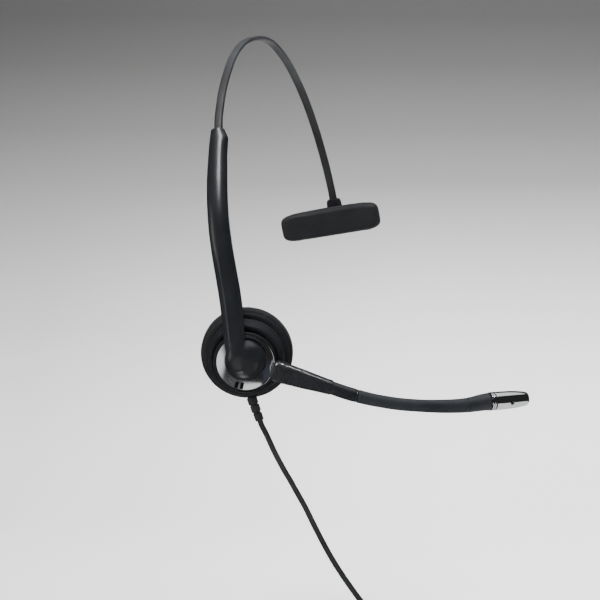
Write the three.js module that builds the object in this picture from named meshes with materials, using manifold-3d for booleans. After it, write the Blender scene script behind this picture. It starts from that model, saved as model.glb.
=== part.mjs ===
// Office headset for one ear: padded ear cup with a bright hub plate, a rotating microphone boom
// with a flexible stretch, a curved arm on a ball joint, a sliding headband, a temple pad on the
// far side, and a cord that ends in a quick connector.
// Millimetres, +Z up, +X towards the wearer's front, +Y towards the far side of the head.
// Origin: centre of the ear cushion's contact face.
import * as THREE from 'three';
import { mergeVertices } from 'three/addons/utils/BufferGeometryUtils.js';
import Module from 'manifold-3d';

const wasm = await Module();
wasm.setup();

// ---------------------------------------------------------------- driving dimensions
const GAP = 0.3;                 // clearance between neighbouring pieces

const CUP_YAW = 18;              // the cup's outer face looks this far forward, degrees
const CUP_TILT = 15;             // and this far down, degrees
const CUSHION_R = 26.0;          // ear cushion, outer radius
const CUSHION_HOLE_R = 12.2;     // ear cushion, hole radius
const CUSHION_T = 11.2;          // ear cushion, thickness
const HOUSING_R = 21.7;          // cup housing at its widest
const HOUSING_RIM_R = 20.3;      // cup housing at the stepped rim
const HUB_R = 17.5;              // bright hub plate
const HUB_Z0 = 24.2;             // hub plate, inner face, from the contact face
const HUB_Z1 = 26.0;             // hub plate, outer face
const BALL_Z = 31.0;             // centre of the ball joint
const BALL_R = 3.4;
const SOCKET_R0 = 3.7;           // ball socket, inside and outside
const SOCKET_R1 = 5.1;
const KNOB_R = 11.6;             // round end of the arm
const KNOB_C = [0.6, 2.9];       // its middle, off the ball joint's axis
const KNOB_Z0 = 29.6;
const KNOB_Z1 = 38.2;

const BOOM_ANGLE = -19;          // boom root direction in the hub's plane, degrees
const BOOM_OFF = 2.5;            // the root runs this far above the hub's middle
const BOOM_ROOT_R0 = 14.9;       // inner end of the boom root, from the hub's axis
const BOOM_ROOT_R1 = 50.0;       // outer end
const SLEEVE_R = 3.5;            // flexible sleeve
const CORE_R = 0.9;              // gooseneck wire
const BEND_AT = 50;              // bend pivot, along the boom's path
const MIC_R = 5.2;

const BAND_LEAN = 8;             // the band's plane leans back, degrees
const BAND_ORIGIN = [5.58, -34.7, 3.43];
const BAND_W = 4.8;              // band sleeve, front to back
const BAND_T = 2.6;              // band sleeve, thickness
const CORE_W = 3.0;              // steel strip inside it
const CORE_T = 0.8;
const SLIDE_TAIL = 33.5;         // strip inside the arm at the stored size
const TBAR_L = 62;               // temple bar
const PAD_L = 66;                // temple pad
const PAD_H = 20;
const PAD_T = 8.2;

const CORD_D = 3.4;
const FLOOR_Z = -155;            // surface that the coiled cord lies on
const COIL_R = 19.5;             // middle of the coil's turns
const COIL_C = [95.8, -0.1];

// ---------------------------------------------------------------- helpers
const V = (x, y, z) => new THREE.Vector3(x, y, z);
const rad = (d) => (d * Math.PI) / 180;

function clean(geometry) {
  const g = geometry.index ? geometry.toNonIndexed() : geometry.clone();
  for (const k of Object.keys(g.attributes)) if (k !== 'position') g.deleteAttribute(k);
  const m = mergeVertices(g, 1e-4);
  const ix = m.index.array, keep = [];
  for (let i = 0; i < ix.length; i += 3) {
    if (ix[i] !== ix[i + 1] && ix[i + 1] !== ix[i + 2] && ix[i] !== ix[i + 2]) keep.push(ix[i], ix[i + 1], ix[i + 2]);
  }
  const p = m.attributes.position;
  let vol = 0;
  const a = V(), b = V(), c = V();
  for (let i = 0; i < keep.length; i += 3) {
    a.fromBufferAttribute(p, keep[i]); b.fromBufferAttribute(p, keep[i + 1]); c.fromBufferAttribute(p, keep[i + 2]);
    vol += a.dot(b.clone().cross(c));
  }
  if (vol < 0) for (let i = 0; i < keep.length; i += 3) [keep[i + 1], keep[i + 2]] = [keep[i + 2], keep[i + 1]];
  m.setIndex(keep);
  return m;
}
function solid(geometry) {
  const g = clean(geometry);
  return new wasm.Manifold(new wasm.Mesh({
    numProp: 3,
    vertProperties: new Float32Array(g.attributes.position.array),
    triVerts: new Uint32Array(g.index.array),
  }));
}
function surface(manifold) {
  const m = manifold.getMesh();
  const g = new THREE.BufferGeometry();
  g.setAttribute('position', new THREE.BufferAttribute(new Float32Array(m.vertProperties), 3));
  g.setIndex([...m.triVerts]);
  return g;
}
const cut = (a, ...tools) => surface(tools.reduce((m, t) => m.subtract(solid(t)), solid(a)));
const join = (a, ...more) => surface(more.reduce((m, t) => m.add(solid(t)), solid(a)));

// solid of revolution about +Z from [radius, height] pairs
function turned(profile, segments = 32, closed = true) {
  const pts = profile.map(([r, z]) => new THREE.Vector2(Math.max(r, 0), z));
  if (closed) pts.push(pts[0].clone());
  const g = new THREE.LatheGeometry(pts, segments);
  g.rotateX(Math.PI / 2);
  return g;
}
// a body through rings of equal point count, with both ends closed
function loft(rings) {
  const n = rings[0].length, pos = [];
  const tri = (a, b, c) => pos.push(a.x, a.y, a.z, b.x, b.y, b.z, c.x, c.y, c.z);
  for (let i = 0; i + 1 < rings.length; i++) {
    for (let j = 0; j < n; j++) {
      const k = (j + 1) % n;
      tri(rings[i][j], rings[i + 1][j], rings[i + 1][k]);
      tri(rings[i][j], rings[i + 1][k], rings[i][k]);
    }
  }
  for (const [ring, flip] of [[rings[0], false], [rings[rings.length - 1], true]]) {
    const c = ring.reduce((s, p) => s.add(p), V(0, 0, 0)).multiplyScalar(1 / n);
    for (let j = 0; j < n; j++) {
      const k = (j + 1) % n;
      if (flip) tri(c, ring[k], ring[j]); else tri(c, ring[j], ring[k]);
    }
  }
  const g = new THREE.BufferGeometry();
  g.setAttribute('position', new THREE.Float32BufferAttribute(pos, 3));
  return g;
}
const ringAt = (p, x, y, section) => section.map(([a, b]) => p.clone().addScaledVector(x, a).addScaledVector(y, b));
// rounded section: front/back half widths, outer and inner heights, squareness of each half
function roundSection(front, back, outer, inner, n = 16, eo = 1, ei = 1) {
  const out = [];
  for (let i = 0; i < n; i++) {
    const t = ((i + 0.5) / n) * 2 * Math.PI, c = Math.cos(t), s = Math.sin(t), e = s > 0 ? eo : ei;
    const x = Math.sign(c) * Math.abs(c) ** e, y = Math.sign(s) * Math.abs(s) ** e;
    out.push([(x > 0 ? front : back) * x, (y > 0 ? outer : inner) * y]);
  }
  return out;
}
function box(x0, x1, y0, y1, z0, z1) {
  const g = new THREE.BoxGeometry(x1 - x0, y1 - y0, z1 - z0);
  g.translate((x0 + x1) / 2, (y0 + y1) / 2, (z0 + z1) / 2);
  return g;
}
function framed(g, origin, x, y, z) {
  const m = new THREE.Matrix4().makeBasis(x, y, z);
  m.setPosition(origin);
  return g.clone().applyMatrix4(m);
}
// aim +Z of a piece along a direction
function aimed(g, origin, dir, segments) {
  const q = new THREE.Quaternion().setFromUnitVectors(V(0, 0, 1), dir.clone().normalize());
  const m = new THREE.Matrix4().compose(origin, q, V(1, 1, 1));
  return g.clone().applyMatrix4(m);
}
// round rod along a list of points, radius per point
function rod(points, radii, sides = 10) {
  const rings = [];
  for (let i = 0; i < points.length; i++) {
    const a = points[Math.max(i - 1, 0)], b = points[Math.min(i + 1, points.length - 1)];
    const t = b.clone().sub(a).normalize();
    const x = V(0, 0, 1).cross(t).normalize(), y = t.clone().cross(x);
    const r = radii[i], ring = [];
    for (let j = 0; j < sides; j++) {
      const w = ((j + 0.5) / sides) * 2 * Math.PI;
      ring.push(points[i].clone().addScaledVector(x, r * Math.cos(w)).addScaledVector(y, r * Math.sin(w)));
    }
    rings.push(ring);
  }
  return loft(rings);
}

// ---------------------------------------------------------------- finishes
const look = (color, roughness, metalness = 0) => new THREE.MeshStandardMaterial({ color, roughness, metalness });
const satinBlack = () => look(0x17181b, 0.35);
const matteBlack = () => look(0x202225, 0.7);
const leather = () => look(0x1b1c1f, 0.6);
const chrome = () => look(0xd9dbde, 0.08, 1);
const steel = () => look(0xa8abb0, 0.3, 1);
const rubber = () => look(0x1c1d1f, 0.75);
const greyBand = () => look(0x3f4346, 0.6);
const cloth = () => look(0x141416, 0.95);
const gold = () => look(0xcaa84a, 0.3, 1);

const headset = new THREE.Group();
function add(parent, name, geometry, material) {
  const g = clean(geometry);
  g.computeVertexNormals();
  const mesh = new THREE.Mesh(g, material);
  mesh.name = name;
  parent.add(mesh);
  return mesh;
}

// ---------------------------------------------------------------- cup frame: +X forward, +Y up, +Z out
const cp = Math.cos(rad(CUP_YAW)), sp = Math.sin(rad(CUP_YAW)), ct = Math.cos(rad(CUP_TILT)), st = Math.sin(rad(CUP_TILT));
const N = V(sp * ct, -cp * ct, -st), E1 = V(cp, sp, 0), E2 = N.clone().cross(E1);
const cup = new THREE.Group();
cup.applyMatrix4(new THREE.Matrix4().makeBasis(E1, E2, N));
headset.add(cup);
const atCup = (x, y, z) => V(0, 0, 0).addScaledVector(E1, x).addScaledVector(E2, y).addScaledVector(N, z);

add(cup, 'ear_cushion', turned([
  [15.0, 0], [22.0, 0], [24.4, 0.8], [25.7, 2.8], [CUSHION_R, 5.4], [25.6, 8.0], [24.2, 10.2], [22.0, CUSHION_T],
  [16.2, CUSHION_T], [13.9, 10.6], [12.6, 8.4], [CUSHION_HOLE_R, 5.0], [12.7, 1.9], [13.7, 0.6],
], 30), leather());
add(cup, 'cushion_carrier', turned([[15.6, 11.5], [21.6, 11.5], [21.6, 13.0], [15.6, 13.0]], 28), matteBlack());
add(cup, 'speaker_screen', turned([[0, 9.9], [11.8, 9.9], [11.8, 11.1], [0, 11.1]], 28, false), cloth());

const holes = [[0, 0]];
for (let i = 0; i < 6; i++) holes.push([6.5 * Math.cos(rad(60 * i)), 6.5 * Math.sin(rad(60 * i))]);
const drill = (x, y, r, z0, z1, seg = 10) => { const g = turned([[0, z0], [r, z0], [r, z1], [0, z1]], seg, false); g.translate(x, y, 0); return g; };
const screwAt = [[14.2, 60], [14.2, 180], [14.2, 300]].map(([r, a]) => [r * Math.cos(rad(a)), r * Math.sin(rad(a))]);
add(cup, 'speaker_baffle', cut(turned([[0, 11.5], [15.3, 11.5], [15.3, 13.0], [18.5, 13.2], [18.5, 14.2], [0, 14.2]], 28, false),
  ...holes.map(([x, y]) => drill(x, y, 1.3, 10, 16, 8))), matteBlack());
add(cup, 'speaker_frame', turned([[13.2, 14.9], [13.2, 16.1], [9.4, 18.9], [7.0, 18.9], [7.0, 18.2], [8.8, 18.2], [12.1, 15.8], [12.1, 14.9]], 22), matteBlack());
add(cup, 'speaker_diaphragm', turned([[0, 15.9], [3.5, 15.7], [5.6, 15.0], [8.6, 15.5], [11.8, 14.95], [11.8, 15.25], [8.6, 15.8], [5.6, 15.3], [3.5, 16.0], [0, 16.2]], 16, false), cloth());
add(cup, 'speaker_magnet', turned([[0, 16.6], [5.4, 16.6], [6.6, 17.0], [6.6, 19.5], [0, 19.5]], 24, false), steel());

// relief direction and place
const RELIEF_POLAR = -83.5, RELIEF_Z = 17.6;
const reliefBase = V(HOUSING_R * Math.cos(rad(RELIEF_POLAR)), HOUSING_R * Math.sin(rad(RELIEF_POLAR)), RELIEF_Z);
const reliefDirWorld = V(0.326, 0.115, -0.938).normalize();
const toCup = (d) => V(d.dot(E1), d.dot(E2), d.dot(N));
const reliefDir = toCup(reliefDirWorld);
add(cup, 'cup_housing', cut(turned([
  [19.9, 13.3], [HOUSING_R, 13.3], [21.9, 15.2], [21.5, 17.8], [HOUSING_RIM_R + 0.2, 22.1], [HOUSING_RIM_R - 0.3, 22.6],
  [18.7, 22.6], [18.3, 22.2], [3.2, 22.2], [3.2, 20.6], [18.2, 20.6], [19.6, 18.6],
], 32), aimed(turned([[0, -6], [2.45, -6], [2.45, 6], [0, 6]], 14, false), reliefBase, reliefDir)), matteBlack());
add(cup, 'terminal_board', box(-17.2, -8.2, -5.5, 5.5, 19.2, 20.2), look(0x1f5a36, 0.5));

add(cup, 'pivot_stud', turned([
  [0, 19.8], [2.5, 19.8], [2.5, 20.25], [1.9, 20.25], [1.9, 20.4], [2.9, 20.4], [2.9, 26.4], [3.8, 26.5], [3.8, 27.0], [2.2, 27.0], [2.2, 28.4],
  [2.75, 29.0], [3.15, 29.72], [3.37, 30.55], [3.4, 31.2], [3.2, 32.15], [2.6, 33.19], [1.7, 33.94], [0.8, 34.3], [0, 34.4],
], 14, false), steel());
add(cup, 'stud_clip', turned([[2.9, 19.75], [4.6, 19.75], [4.6, 20.3], [2.9, 20.3]], 16), steel());
add(cup, 'hub_bearing', turned([[3.5, 22.5], [6.8, 22.5], [6.8, 23.9], [3.5, 23.9]], 18), matteBlack());
{
  const g = turned([[7.6, 22.85], [11.4, 22.85], [11.4, 23.2], [7.6, 23.2]], 24);
  const p = g.attributes.position;
  for (let i = 0; i < p.count; i++) p.setZ(i, p.getZ(i) + 0.22 * Math.sin(6 * Math.atan2(p.getY(i), p.getX(i))));
  add(cup, 'detent_washer', g, steel());
}

const ba = rad(BOOM_ANGLE), BD = V(Math.cos(ba), Math.sin(ba), 0), BS = V(-Math.sin(ba), Math.cos(ba), 0);
const onRoot = (r, k) => [r * BD.x + (BOOM_OFF + k) * BS.x, r * BD.y + (BOOM_OFF + k) * BS.y];
const boomScrew = [onRoot(15.6, 0.7), onRoot(15.9, -3.4)];
const slotTool = (x, y) => { const g = box(-0.95, 0.95, -1.9, 1.9, HUB_Z0 - 1, HUB_Z1 + 1); g.rotateZ(rad(-14)); g.translate(x, y, 0); return g; };
add(cup, 'hub_plate', cut(turned([
  [3.2, HUB_Z0], [17.2, HUB_Z0], [HUB_R, HUB_Z0 + 0.4], [HUB_R, HUB_Z1 + 0.1], [17.2, HUB_Z1 + 0.4], [16.8, HUB_Z1 + 0.4], [16.4, HUB_Z1], [3.2, HUB_Z1],
], 36), slotTool(-4.8, -12.8), slotTool(-1.9, -13.4), ...boomScrew.map(([x, y]) => drill(x, y, 1.05, 20, 28, 8))), chrome());
boomScrew.forEach(([x, y], i) => {
  const g = turned([[0, 23.05], [1.45, 23.05], [1.45, 23.85], [0.75, 23.9], [0.75, 28.3], [0, 28.3]], 10, false);
  g.translate(x, y, 0);
  add(cup, `boom_screw_${i + 1}`, g, steel());
});

// boom root: tapered bar with a rounded inner end, over the hub plate
{
  const st = [ // distance, half width, half thickness, centre height
    [BOOM_ROOT_R0, 3.2, 1.9, 30.2], [15.4, 4.6, 2.9, 30.2], [16.4, 5.4, 3.3, 30.2], [18.0, 5.7, 3.45, 30.15], [21, 5.6, 3.45, 30.05],
    [28, 5.15, 3.4, 29.4], [34, 4.85, 3.4, 28.95], [40, 4.3, 3.4, 28.5], [46, 3.85, 3.5, 27.95], [BOOM_ROOT_R1, 3.65, 3.5, 27.6],
  ];
  const rings = st.map(([r, w, t, z]) => ringAt(V(...onRoot(r, 0), z), BS, V(0, 0, 1), roundSection(w, w, t, t, 16, 0.8, 0.8)));
  const blind = boomScrew.map(([x, y]) => drill(x, y, 1.05, 25, 28.8, 8));
  add(cup, 'boom_root', cut(loft(rings), ...blind), satinBlack());
}

// strain relief of the cord, turned about its own axis
{
  const pr = [[0, -4.1], [2.45, -4.1], [2.45, -3.25], [2.0, -3.1], [2.0, 0.85], [2.85, 1.1], [2.85, 5.0], [2.3, 5.25], [2.3, 5.75],
    [2.75, 6.0], [2.65, 9.6], [2.1, 9.85], [2.1, 10.35], [2.5, 10.6], [2.4, 14.6], [2.0, 15.0], [0, 15.0]];
  add(cup, 'cord_relief', aimed(turned(pr, 10, false), reliefBase, reliefDir), rubber());
}
const reliefEnd = atCup(reliefBase.x, reliefBase.y, reliefBase.z).addScaledVector(reliefDirWorld, 15.0);

// baffle screws hold the speaker baffle to posts of the housing
screwAt.forEach(([x, y], i) => {
  const k = 17.0 / 14.2;
  const g = turned([[0, 15.0], [1.5, 15.0], [1.5, 15.7], [0.8, 15.8], [0.8, 18.4], [0, 18.4]], 10, false);
  g.translate(x * k, y * k, 0);
  add(cup, `baffle_screw_${i + 1}`, g, steel());
});

// ball socket and its retainer
{
  const inner = [], outer = [];
  for (let i = 0; i <= 7; i++) {
    const a = rad((118 * i) / 7);
    inner.push([SOCKET_R0 * Math.sin(a), BALL_Z + SOCKET_R0 * Math.cos(a)]);
    outer.push([SOCKET_R1 * Math.sin(a), BALL_Z + SOCKET_R1 * Math.cos(a)]);
  }
  add(cup, 'ball_socket', turned([...inner, ...outer.reverse()], 14, false), matteBlack());
  add(cup, 'socket_retainer', turned([[5.3, 29.3], [4.85, 28.5], [7.4, 28.5], [7.4, 29.3]], 18), matteBlack());
}

// ---------------------------------------------------------------- boom beyond the root
const boomPts = [[52.86, -7.07, -20.58], [61.46, -3.28, -23.72], [70.01, 0.89, -26.33], [78.35, 5.26, -28.3], [86.7, 9.9, -29.79], [95.3, 15, -30.7],
  [103.7, 20.4, -31.19], [112, 26, -31.3], [120.1, 31.8, -30.86], [128, 37.9, -29.4], [135.7, 44.3, -28.5], [143.2, 50.9, -28.03], [150.3, 57.3, -27.55]];
const rootEnd = atCup(...onRoot(BOOM_ROOT_R1, 0), 27.6);
const shift = rootEnd.clone().sub(V(...boomPts[0]));
const boomCurve = new THREE.CatmullRomCurve3(boomPts.map((p, i) => V(...p).addScaledVector(shift, Math.max(0, 1 - i / 4))), false, 'centripetal');
const boomLen = boomCurve.getLength();
const along = (s) => boomCurve.getPointAt(Math.min(Math.max(s / boomLen, 0), 1));
const span = (s0, s1, n) => Array.from({ length: n + 1 }, (_, i) => s0 + ((s1 - s0) * i) / n);
const tube = (ss, r, sides) => rod(ss.map(along), ss.map((s) => (typeof r === 'function' ? r(s) : r)), sides);

const SL0 = 15.3, NECK0 = 79.5, MIC0 = 92.6;
add(headset, 'boom_collar', tube([GAP, 0.8, 6, 12, 14.4, 15.0], (s) => (s < 0.5 ? 3.3 : s < 14 ? 3.76 : 3.4), 12), satinBlack());
const pivot = along(BEND_AT);
const tan = boomCurve.getTangentAt(BEND_AT / boomLen);
{
  // rear sleeve ends in a half ball about the pivot, front sleeve starts just past it
  const ss = span(SL0, BEND_AT, 5), rr = [3.7, 3.58, SLEEVE_R, SLEEVE_R, SLEEVE_R, SLEEVE_R], pp = ss.map(along);
  for (const a of [25, 50, 72]) { pp.push(pivot.clone().addScaledVector(tan, SLEEVE_R * Math.sin(rad(a)))); rr.push(SLEEVE_R * Math.cos(rad(a))); }
  const bore = rod(span(SL0 - 3, BEND_AT + 6, 6).map(along), Array(7).fill(CORE_R + GAP), 8);
  add(headset, 'sleeve_rear', cut(rod(pp, rr, 10), bore), rubber());
  const fs = span(BEND_AT + SLEEVE_R + GAP, NECK0 - GAP, 4);
  const bore2 = rod(span(BEND_AT, NECK0 + 3, 6).map(along), Array(7).fill(CORE_R + GAP), 8);
  add(headset, 'sleeve_front', cut(rod(fs.map(along), [SLEEVE_R, 3.55, 3.76, 3.94, 4.12], 10), bore2), rubber());
  add(headset, 'core_rear', tube(span(SL0 + 0.2, BEND_AT - 1, 6), CORE_R, 6), steel());
  add(headset, 'core_front', tube(span(BEND_AT + 4.2, NECK0 - 0.6, 4), CORE_R, 6), steel());
}
add(headset, 'mic_neck', tube([NECK0, 80.5, 83, 86, 89, MIC0 - 1.4 * GAP], (s) => ({ [NECK0]: 4.02, 80.5: 4.17, 83: 4.36, 86: 4.6, 89: 4.82 }[s] ?? 4.99), 16), satinBlack());
const MIC_END = Math.min(boomLen - 0.05, 116.8);
const micTan = along(MIC_END).sub(along(MIC0)).normalize();
const micAt = (s) => along(MIC0).addScaledVector(micTan, s - MIC0);
const micX = V(0, 0, 1).cross(micTan).normalize(), micY = micTan.clone().cross(micX);
const micTurned = (profile, seg, closed) => framed(turned(profile, seg, closed), along(MIC0), micX, micY, micTan);
const ML = MIC_END - MIC0;
add(headset, 'mic_ring', micTurned([[3.9, 0], [4.9, 0], [MIC_R, 0.35], [MIC_R, 1.0], [4.85, 1.25], [MIC_R, 1.5], [MIC_R, 2.1], [4.9, 2.5], [3.9, 2.5]], 18), chrome());
const micOuter = [[3.9, 2.8], [4.9, 2.8], [MIC_R, 3.2], [5.17, 8], [5.03, 12.5], [4.75, 16.5], [4.37, 20], [4.02, 22.2], [3.75, ML - 1.3], [3.1, ML - 0.45], [2.2, ML - 0.05], [0, ML]];
const micInner = [[0, ML - 1.2], [1.0, ML - 1.5], [1.9, ML - 2.5], [2.6, 20.5], [3.2, 17.5], [3.7, 13.5], [3.9, 8]];
{
  const shell = micTurned([...micOuter, ...micInner], 18, true);
  const port = aimed(turned([[0, 0], [0.65, 0], [0.65, 6], [0, 6]], 8, false), micAt(MIC0 + 12.4), micX.clone().multiplyScalar(-0.951).addScaledVector(micY, -0.309));
  const mouth = aimed(turned([[0, 0], [1.1, 0], [1.1, 7], [0, 7]], 10, false), micAt(MIC0 + 16), micX);
  add(headset, 'mic_shell', cut(shell, port, mouth), chrome());
}
add(headset, 'mic_gasket', micTurned([[3.05, 9.0], [3.6, 9.0], [3.6, 12.5], [3.05, 12.5]], 16), rubber());
add(headset, 'mic_capsule', micTurned([[0, 8.2], [2.7, 8.2], [2.7, 13.4], [0, 13.4]], 16, false), steel());

// ---------------------------------------------------------------- arm and band, in a plane that leans back
const cl = Math.cos(rad(BAND_LEAN)), sl = Math.sin(rad(BAND_LEAN));
const F = V(cl, 0, sl), W = V(-sl, 0, cl);
const inPlane = (u, w) => V(BAND_ORIGIN[0] - sl * w, u, BAND_ORIGIN[2] + cl * w);
const dirPlane = (du, dw) => V(-sl * dw, du, cl * dw).normalize();
const MOUTH = [-15.2, 123.3], SD = [0.3557, 0.9346];
const slideDir = dirPlane(...SD);
const onSlide = (k) => inPlane(MOUTH[0] + SD[0] * k, MOUTH[1] + SD[1] * k);
const slideOut = F.clone().cross(slideDir);

const armPts = [[-35.2, -9], [-34.7, 0], [-33.8, 10], [-33.5, 25], [-34.3, 42], [-34.5, 56], [-33.84, 66.8], [-31.86, 77.5], [-28.67, 87.9], [-24.07, 100], [-20.53, 109.3], [-16.99, 118.6], MOUTH];
const armCurve = new THREE.CatmullRomCurve3(armPts.map(([u, w]) => inPlane(u, w)), false, 'centripetal');
const armTable = [ // height in the plane: back, front half widths, outer height
  [-9, 5.3, 5.2, 1.6], [-4, 5.7, 5.8, 2.7], [1, 5.8, 6.2, 3.4], [14, 5.75, 6.9, 3.7], [27, 5.8, 7.2, 3.8], [38, 5.9, 6.9, 3.8], [50, 6.15, 6.3, 3.8], [70, 6.2, 5.8, 3.8], [96, 6.3, 5.3, 3.6], [106, 5.8, 5.0, 3.4],
  [111.6, 5.4, 5.25, 3.25], [116.2, 5.0, 5.65, 3.1], [121.4, 4.25, 3.4, 2.85], [123.3, 4.0, 3.4, 2.75],
];
function table(t, w) {
  if (w <= t[0][0]) return t[0].slice(1);
  for (let i = 0; i + 1 < t.length; i++) if (w <= t[i + 1][0]) {
    const k = (w - t[i][0]) / (t[i + 1][0] - t[i][0]);
    return t[i].slice(1).map((v, j) => v + (t[i + 1][j + 1] - v) * k);
  }
  return t[t.length - 1].slice(1);
}
const heightOf = (p) => (p.z - BAND_ORIGIN[2]) / cl;
const armUs = [0, 0.07, 0.14, 0.22, 0.3, 0.38, 0.46, 0.54, 0.6, 0.66, 0.72, 0.8, 0.87, 0.92, 0.95, 0.973, 0.99, 1];
const armRings = (fn, us = armUs) => us.map((u) => {
  const p = armCurve.getPointAt(u), t = armCurve.getTangentAt(u), o = F.clone().cross(t).normalize();
  return ringAt(p, F, o, fn(heightOf(p), u));
});
const INNER = 1.9;               // flat inner side of the arm shell, below its middle
const knobDome = turned([[0, KNOB_Z0], [KNOB_R - 0.3, KNOB_Z0], [KNOB_R, 30.2], [KNOB_R + 0.1, 31.6], [11.3, 33.2], [10.3, 35.0], [8.6, 36.6], [6.0, 37.6], [3.0, 38.1], [0, KNOB_Z1]], 28, false);
knobDome.translate(KNOB_C[0], KNOB_C[1], 0);
const cupMatrix = new THREE.Matrix4().makeBasis(E1, E2, N);
const fromCup = (g) => g.clone().applyMatrix4(cupMatrix);
{
  const body = loft(armRings((w) => { const [b, f, o] = table(armTable, w); return roundSection(f, b, o, INNER, 14, 0.85, 0.5); }));
  const cavity = [];
  for (let i = 0; i <= 8; i++) { const a = rad((105 * i) / 8); cavity.push([5.4 * Math.sin(a), BALL_Z + 5.4 * Math.cos(a)]); }
  cavity[0][0] = 0;
  const ballSpace = fromCup(turned([...cavity, [5.3, 27], [0, 27]], 20, false));
  const under = fromCup(turned([[0, 20], [16, 20], [16, KNOB_Z0], [0, KNOB_Z0]], 24, false));
  const armBody = surface(solid(body).subtract(solid(under)));
  const channel = framed(box(-2.7, 2.7, -6, 1.7, -44.5, 5), onSlide(0), F, slideOut, slideDir);
  const wide = framed(box(-3.4, 3.4, -6, 1.7, -44.5, -7), onSlide(0), F, slideOut, slideDir);
  const posts = [24, 62].map((w) => screwHole(w));
  const top = framed(box(-14, 14, -12, 12, -1.9, 9), onSlide(0), F, slideOut, slideDir);
  add(headset, 'arm_shell', cut(join(armBody, fromCup(knobDome)), ballSpace, channel, wide, top, ...posts), satinBlack());
}
function coverFrame(w) {
  let best = 0, err = 1e9;
  for (let i = 0; i <= 400; i++) { const e = Math.abs(heightOf(armCurve.getPointAt(i / 400)) - w); if (e < err) { err = e; best = i / 400; } }
  const p = armCurve.getPointAt(best), t = armCurve.getTangentAt(best);
  return { p, t, o: F.clone().cross(t).normalize() };
}
function screwHole(w) {
  const c = coverFrame(w);
  return aimed(turned([[0, -6], [1.05, -6], [1.05, 1.2], [0, 1.2]], 10, false), c.p, c.o);
}
{
  const us = armUs.filter((u) => u >= 0.14 && u < 0.985);
  const flat = loft(us.map((u) => {
    const p = armCurve.getPointAt(u), t = armCurve.getTangentAt(u), o = F.clone().cross(t).normalize();
    const [b, f] = table(armTable, heightOf(p));
    const x0 = -(b - 0.6), x1 = f - 0.6, y1 = -INNER - GAP, y0 = -3.4, c = 0.6;
    return ringAt(p, F, o, [[x0, y1], [x0, y0 + c], [x0 + c, y0], [x1 - c, y0], [x1, y0 + c], [x1, y1]]);
  }));
  const heads = [24, 62].map((w) => { const c = coverFrame(w); return join(screwHole(w), aimed(turned([[0, -6], [1.9, -6], [1.9, -2.6], [0, -2.6]], 12, false), c.p, c.o)); });
  add(headset, 'arm_cover', cut(flat, ...heads), matteBlack());
  [24, 62].forEach((w, i) => {
    const c = coverFrame(w);
    add(headset, `arm_screw_${i + 1}`, aimed(turned([[0, -3.5], [1.5, -3.5], [1.5, -3.1], [0.75, -2.7], [0.75, 0.8], [0, 0.8]], 12, false), c.p, c.o), steel());
  });
}

// steel strip with its sleeve, from the tail inside the arm over the crown to the far side
const farPts = [[-12.45, 129.9], [-9.35, 134.7], [-6.1, 139.6], [-2.35, 144.6], [1.8, 149.2], [6.6, 154.2], [21.5, 167.0], [40.8, 177.4], [62.0, 183.0], [80.0, 184.6], [95, 182.6], [116.9, 172.8], [138.0, 154.5], [152.0, 134.8], [162.2, 113.8], [167.6, 97], [170.0, 84.2]];
const bandPts = [onSlide(-SLIDE_TAIL), onSlide(-24), onSlide(-12), onSlide(0), onSlide(4), ...farPts.map(([u, w]) => inPlane(u, w))];
const bandCurve = new THREE.CatmullRomCurve3(bandPts, false, 'centripetal');
const bandLen = bandCurve.getLength();
const bandRing = (d, section) => {
  const u = Math.min(Math.max(d / bandLen, 0), 1), p = bandCurve.getPointAt(u), t = bandCurve.getTangentAt(u);
  return ringAt(p, F, F.clone().cross(t).normalize(), section);
};
const rect = (a, b) => [[a, b], [-a, b], [-a, -b], [a, -b]];
{
  const n = 27;
  const ds = span(SLIDE_TAIL - 24, bandLen - 0.1, n);
  add(headset, 'band_core', loft([0, ...ds].map((d) => bandRing(d, rect(CORE_W / 2, CORE_T / 2)))), steel());
  const oval = roundSection(BAND_W / 2, BAND_W / 2, BAND_T / 2, BAND_T / 2, 10, 0.9, 0.9);
  const inner = rect(CORE_W / 2 + GAP, CORE_T / 2 + 0.25);
  const outer = ds.map((d) => bandRing(d, oval));
  const bore = ds.map((d) => bandRing(d, inner));
  const lead = (ring, k, dist) => ring.map((p) => p.clone().addScaledVector(k, dist));
  const t0 = bandCurve.getTangentAt((SLIDE_TAIL - 24) / bandLen), t1 = bandCurve.getTangentAt(1);
  add(headset, 'band_sleeve', cut(loft(outer), loft([lead(bore[0], t0, -2), ...bore, lead(bore[bore.length - 1], t1, 2)])), greyBand());
}
add(headset, 'band_stop', cut(framed(box(-3.1, 3.1, -1.3, 1.3, -SLIDE_TAIL + 0.8, -SLIDE_TAIL + 3.6), onSlide(0), F, slideOut, slideDir),
  framed(box(-1.8, 1.8, -0.68, 0.68, -SLIDE_TAIL - 4, -SLIDE_TAIL + 6), onSlide(0), F, slideOut, slideDir)), steel());
{
  const rings = span(-20, -8, 6).map((k, i) => {
    const lift = 0.14 * Math.sin((Math.PI * i) / 6);
    return ringAt(onSlide(k), F, slideOut, [[1.6, -1.95 + lift], [-1.6, -1.95 + lift], [-1.6, -2.12 + lift * 0.4], [1.6, -2.12 + lift * 0.4]]);
  });
  add(headset, 'slider_spring', loft(rings), steel());
}

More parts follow.
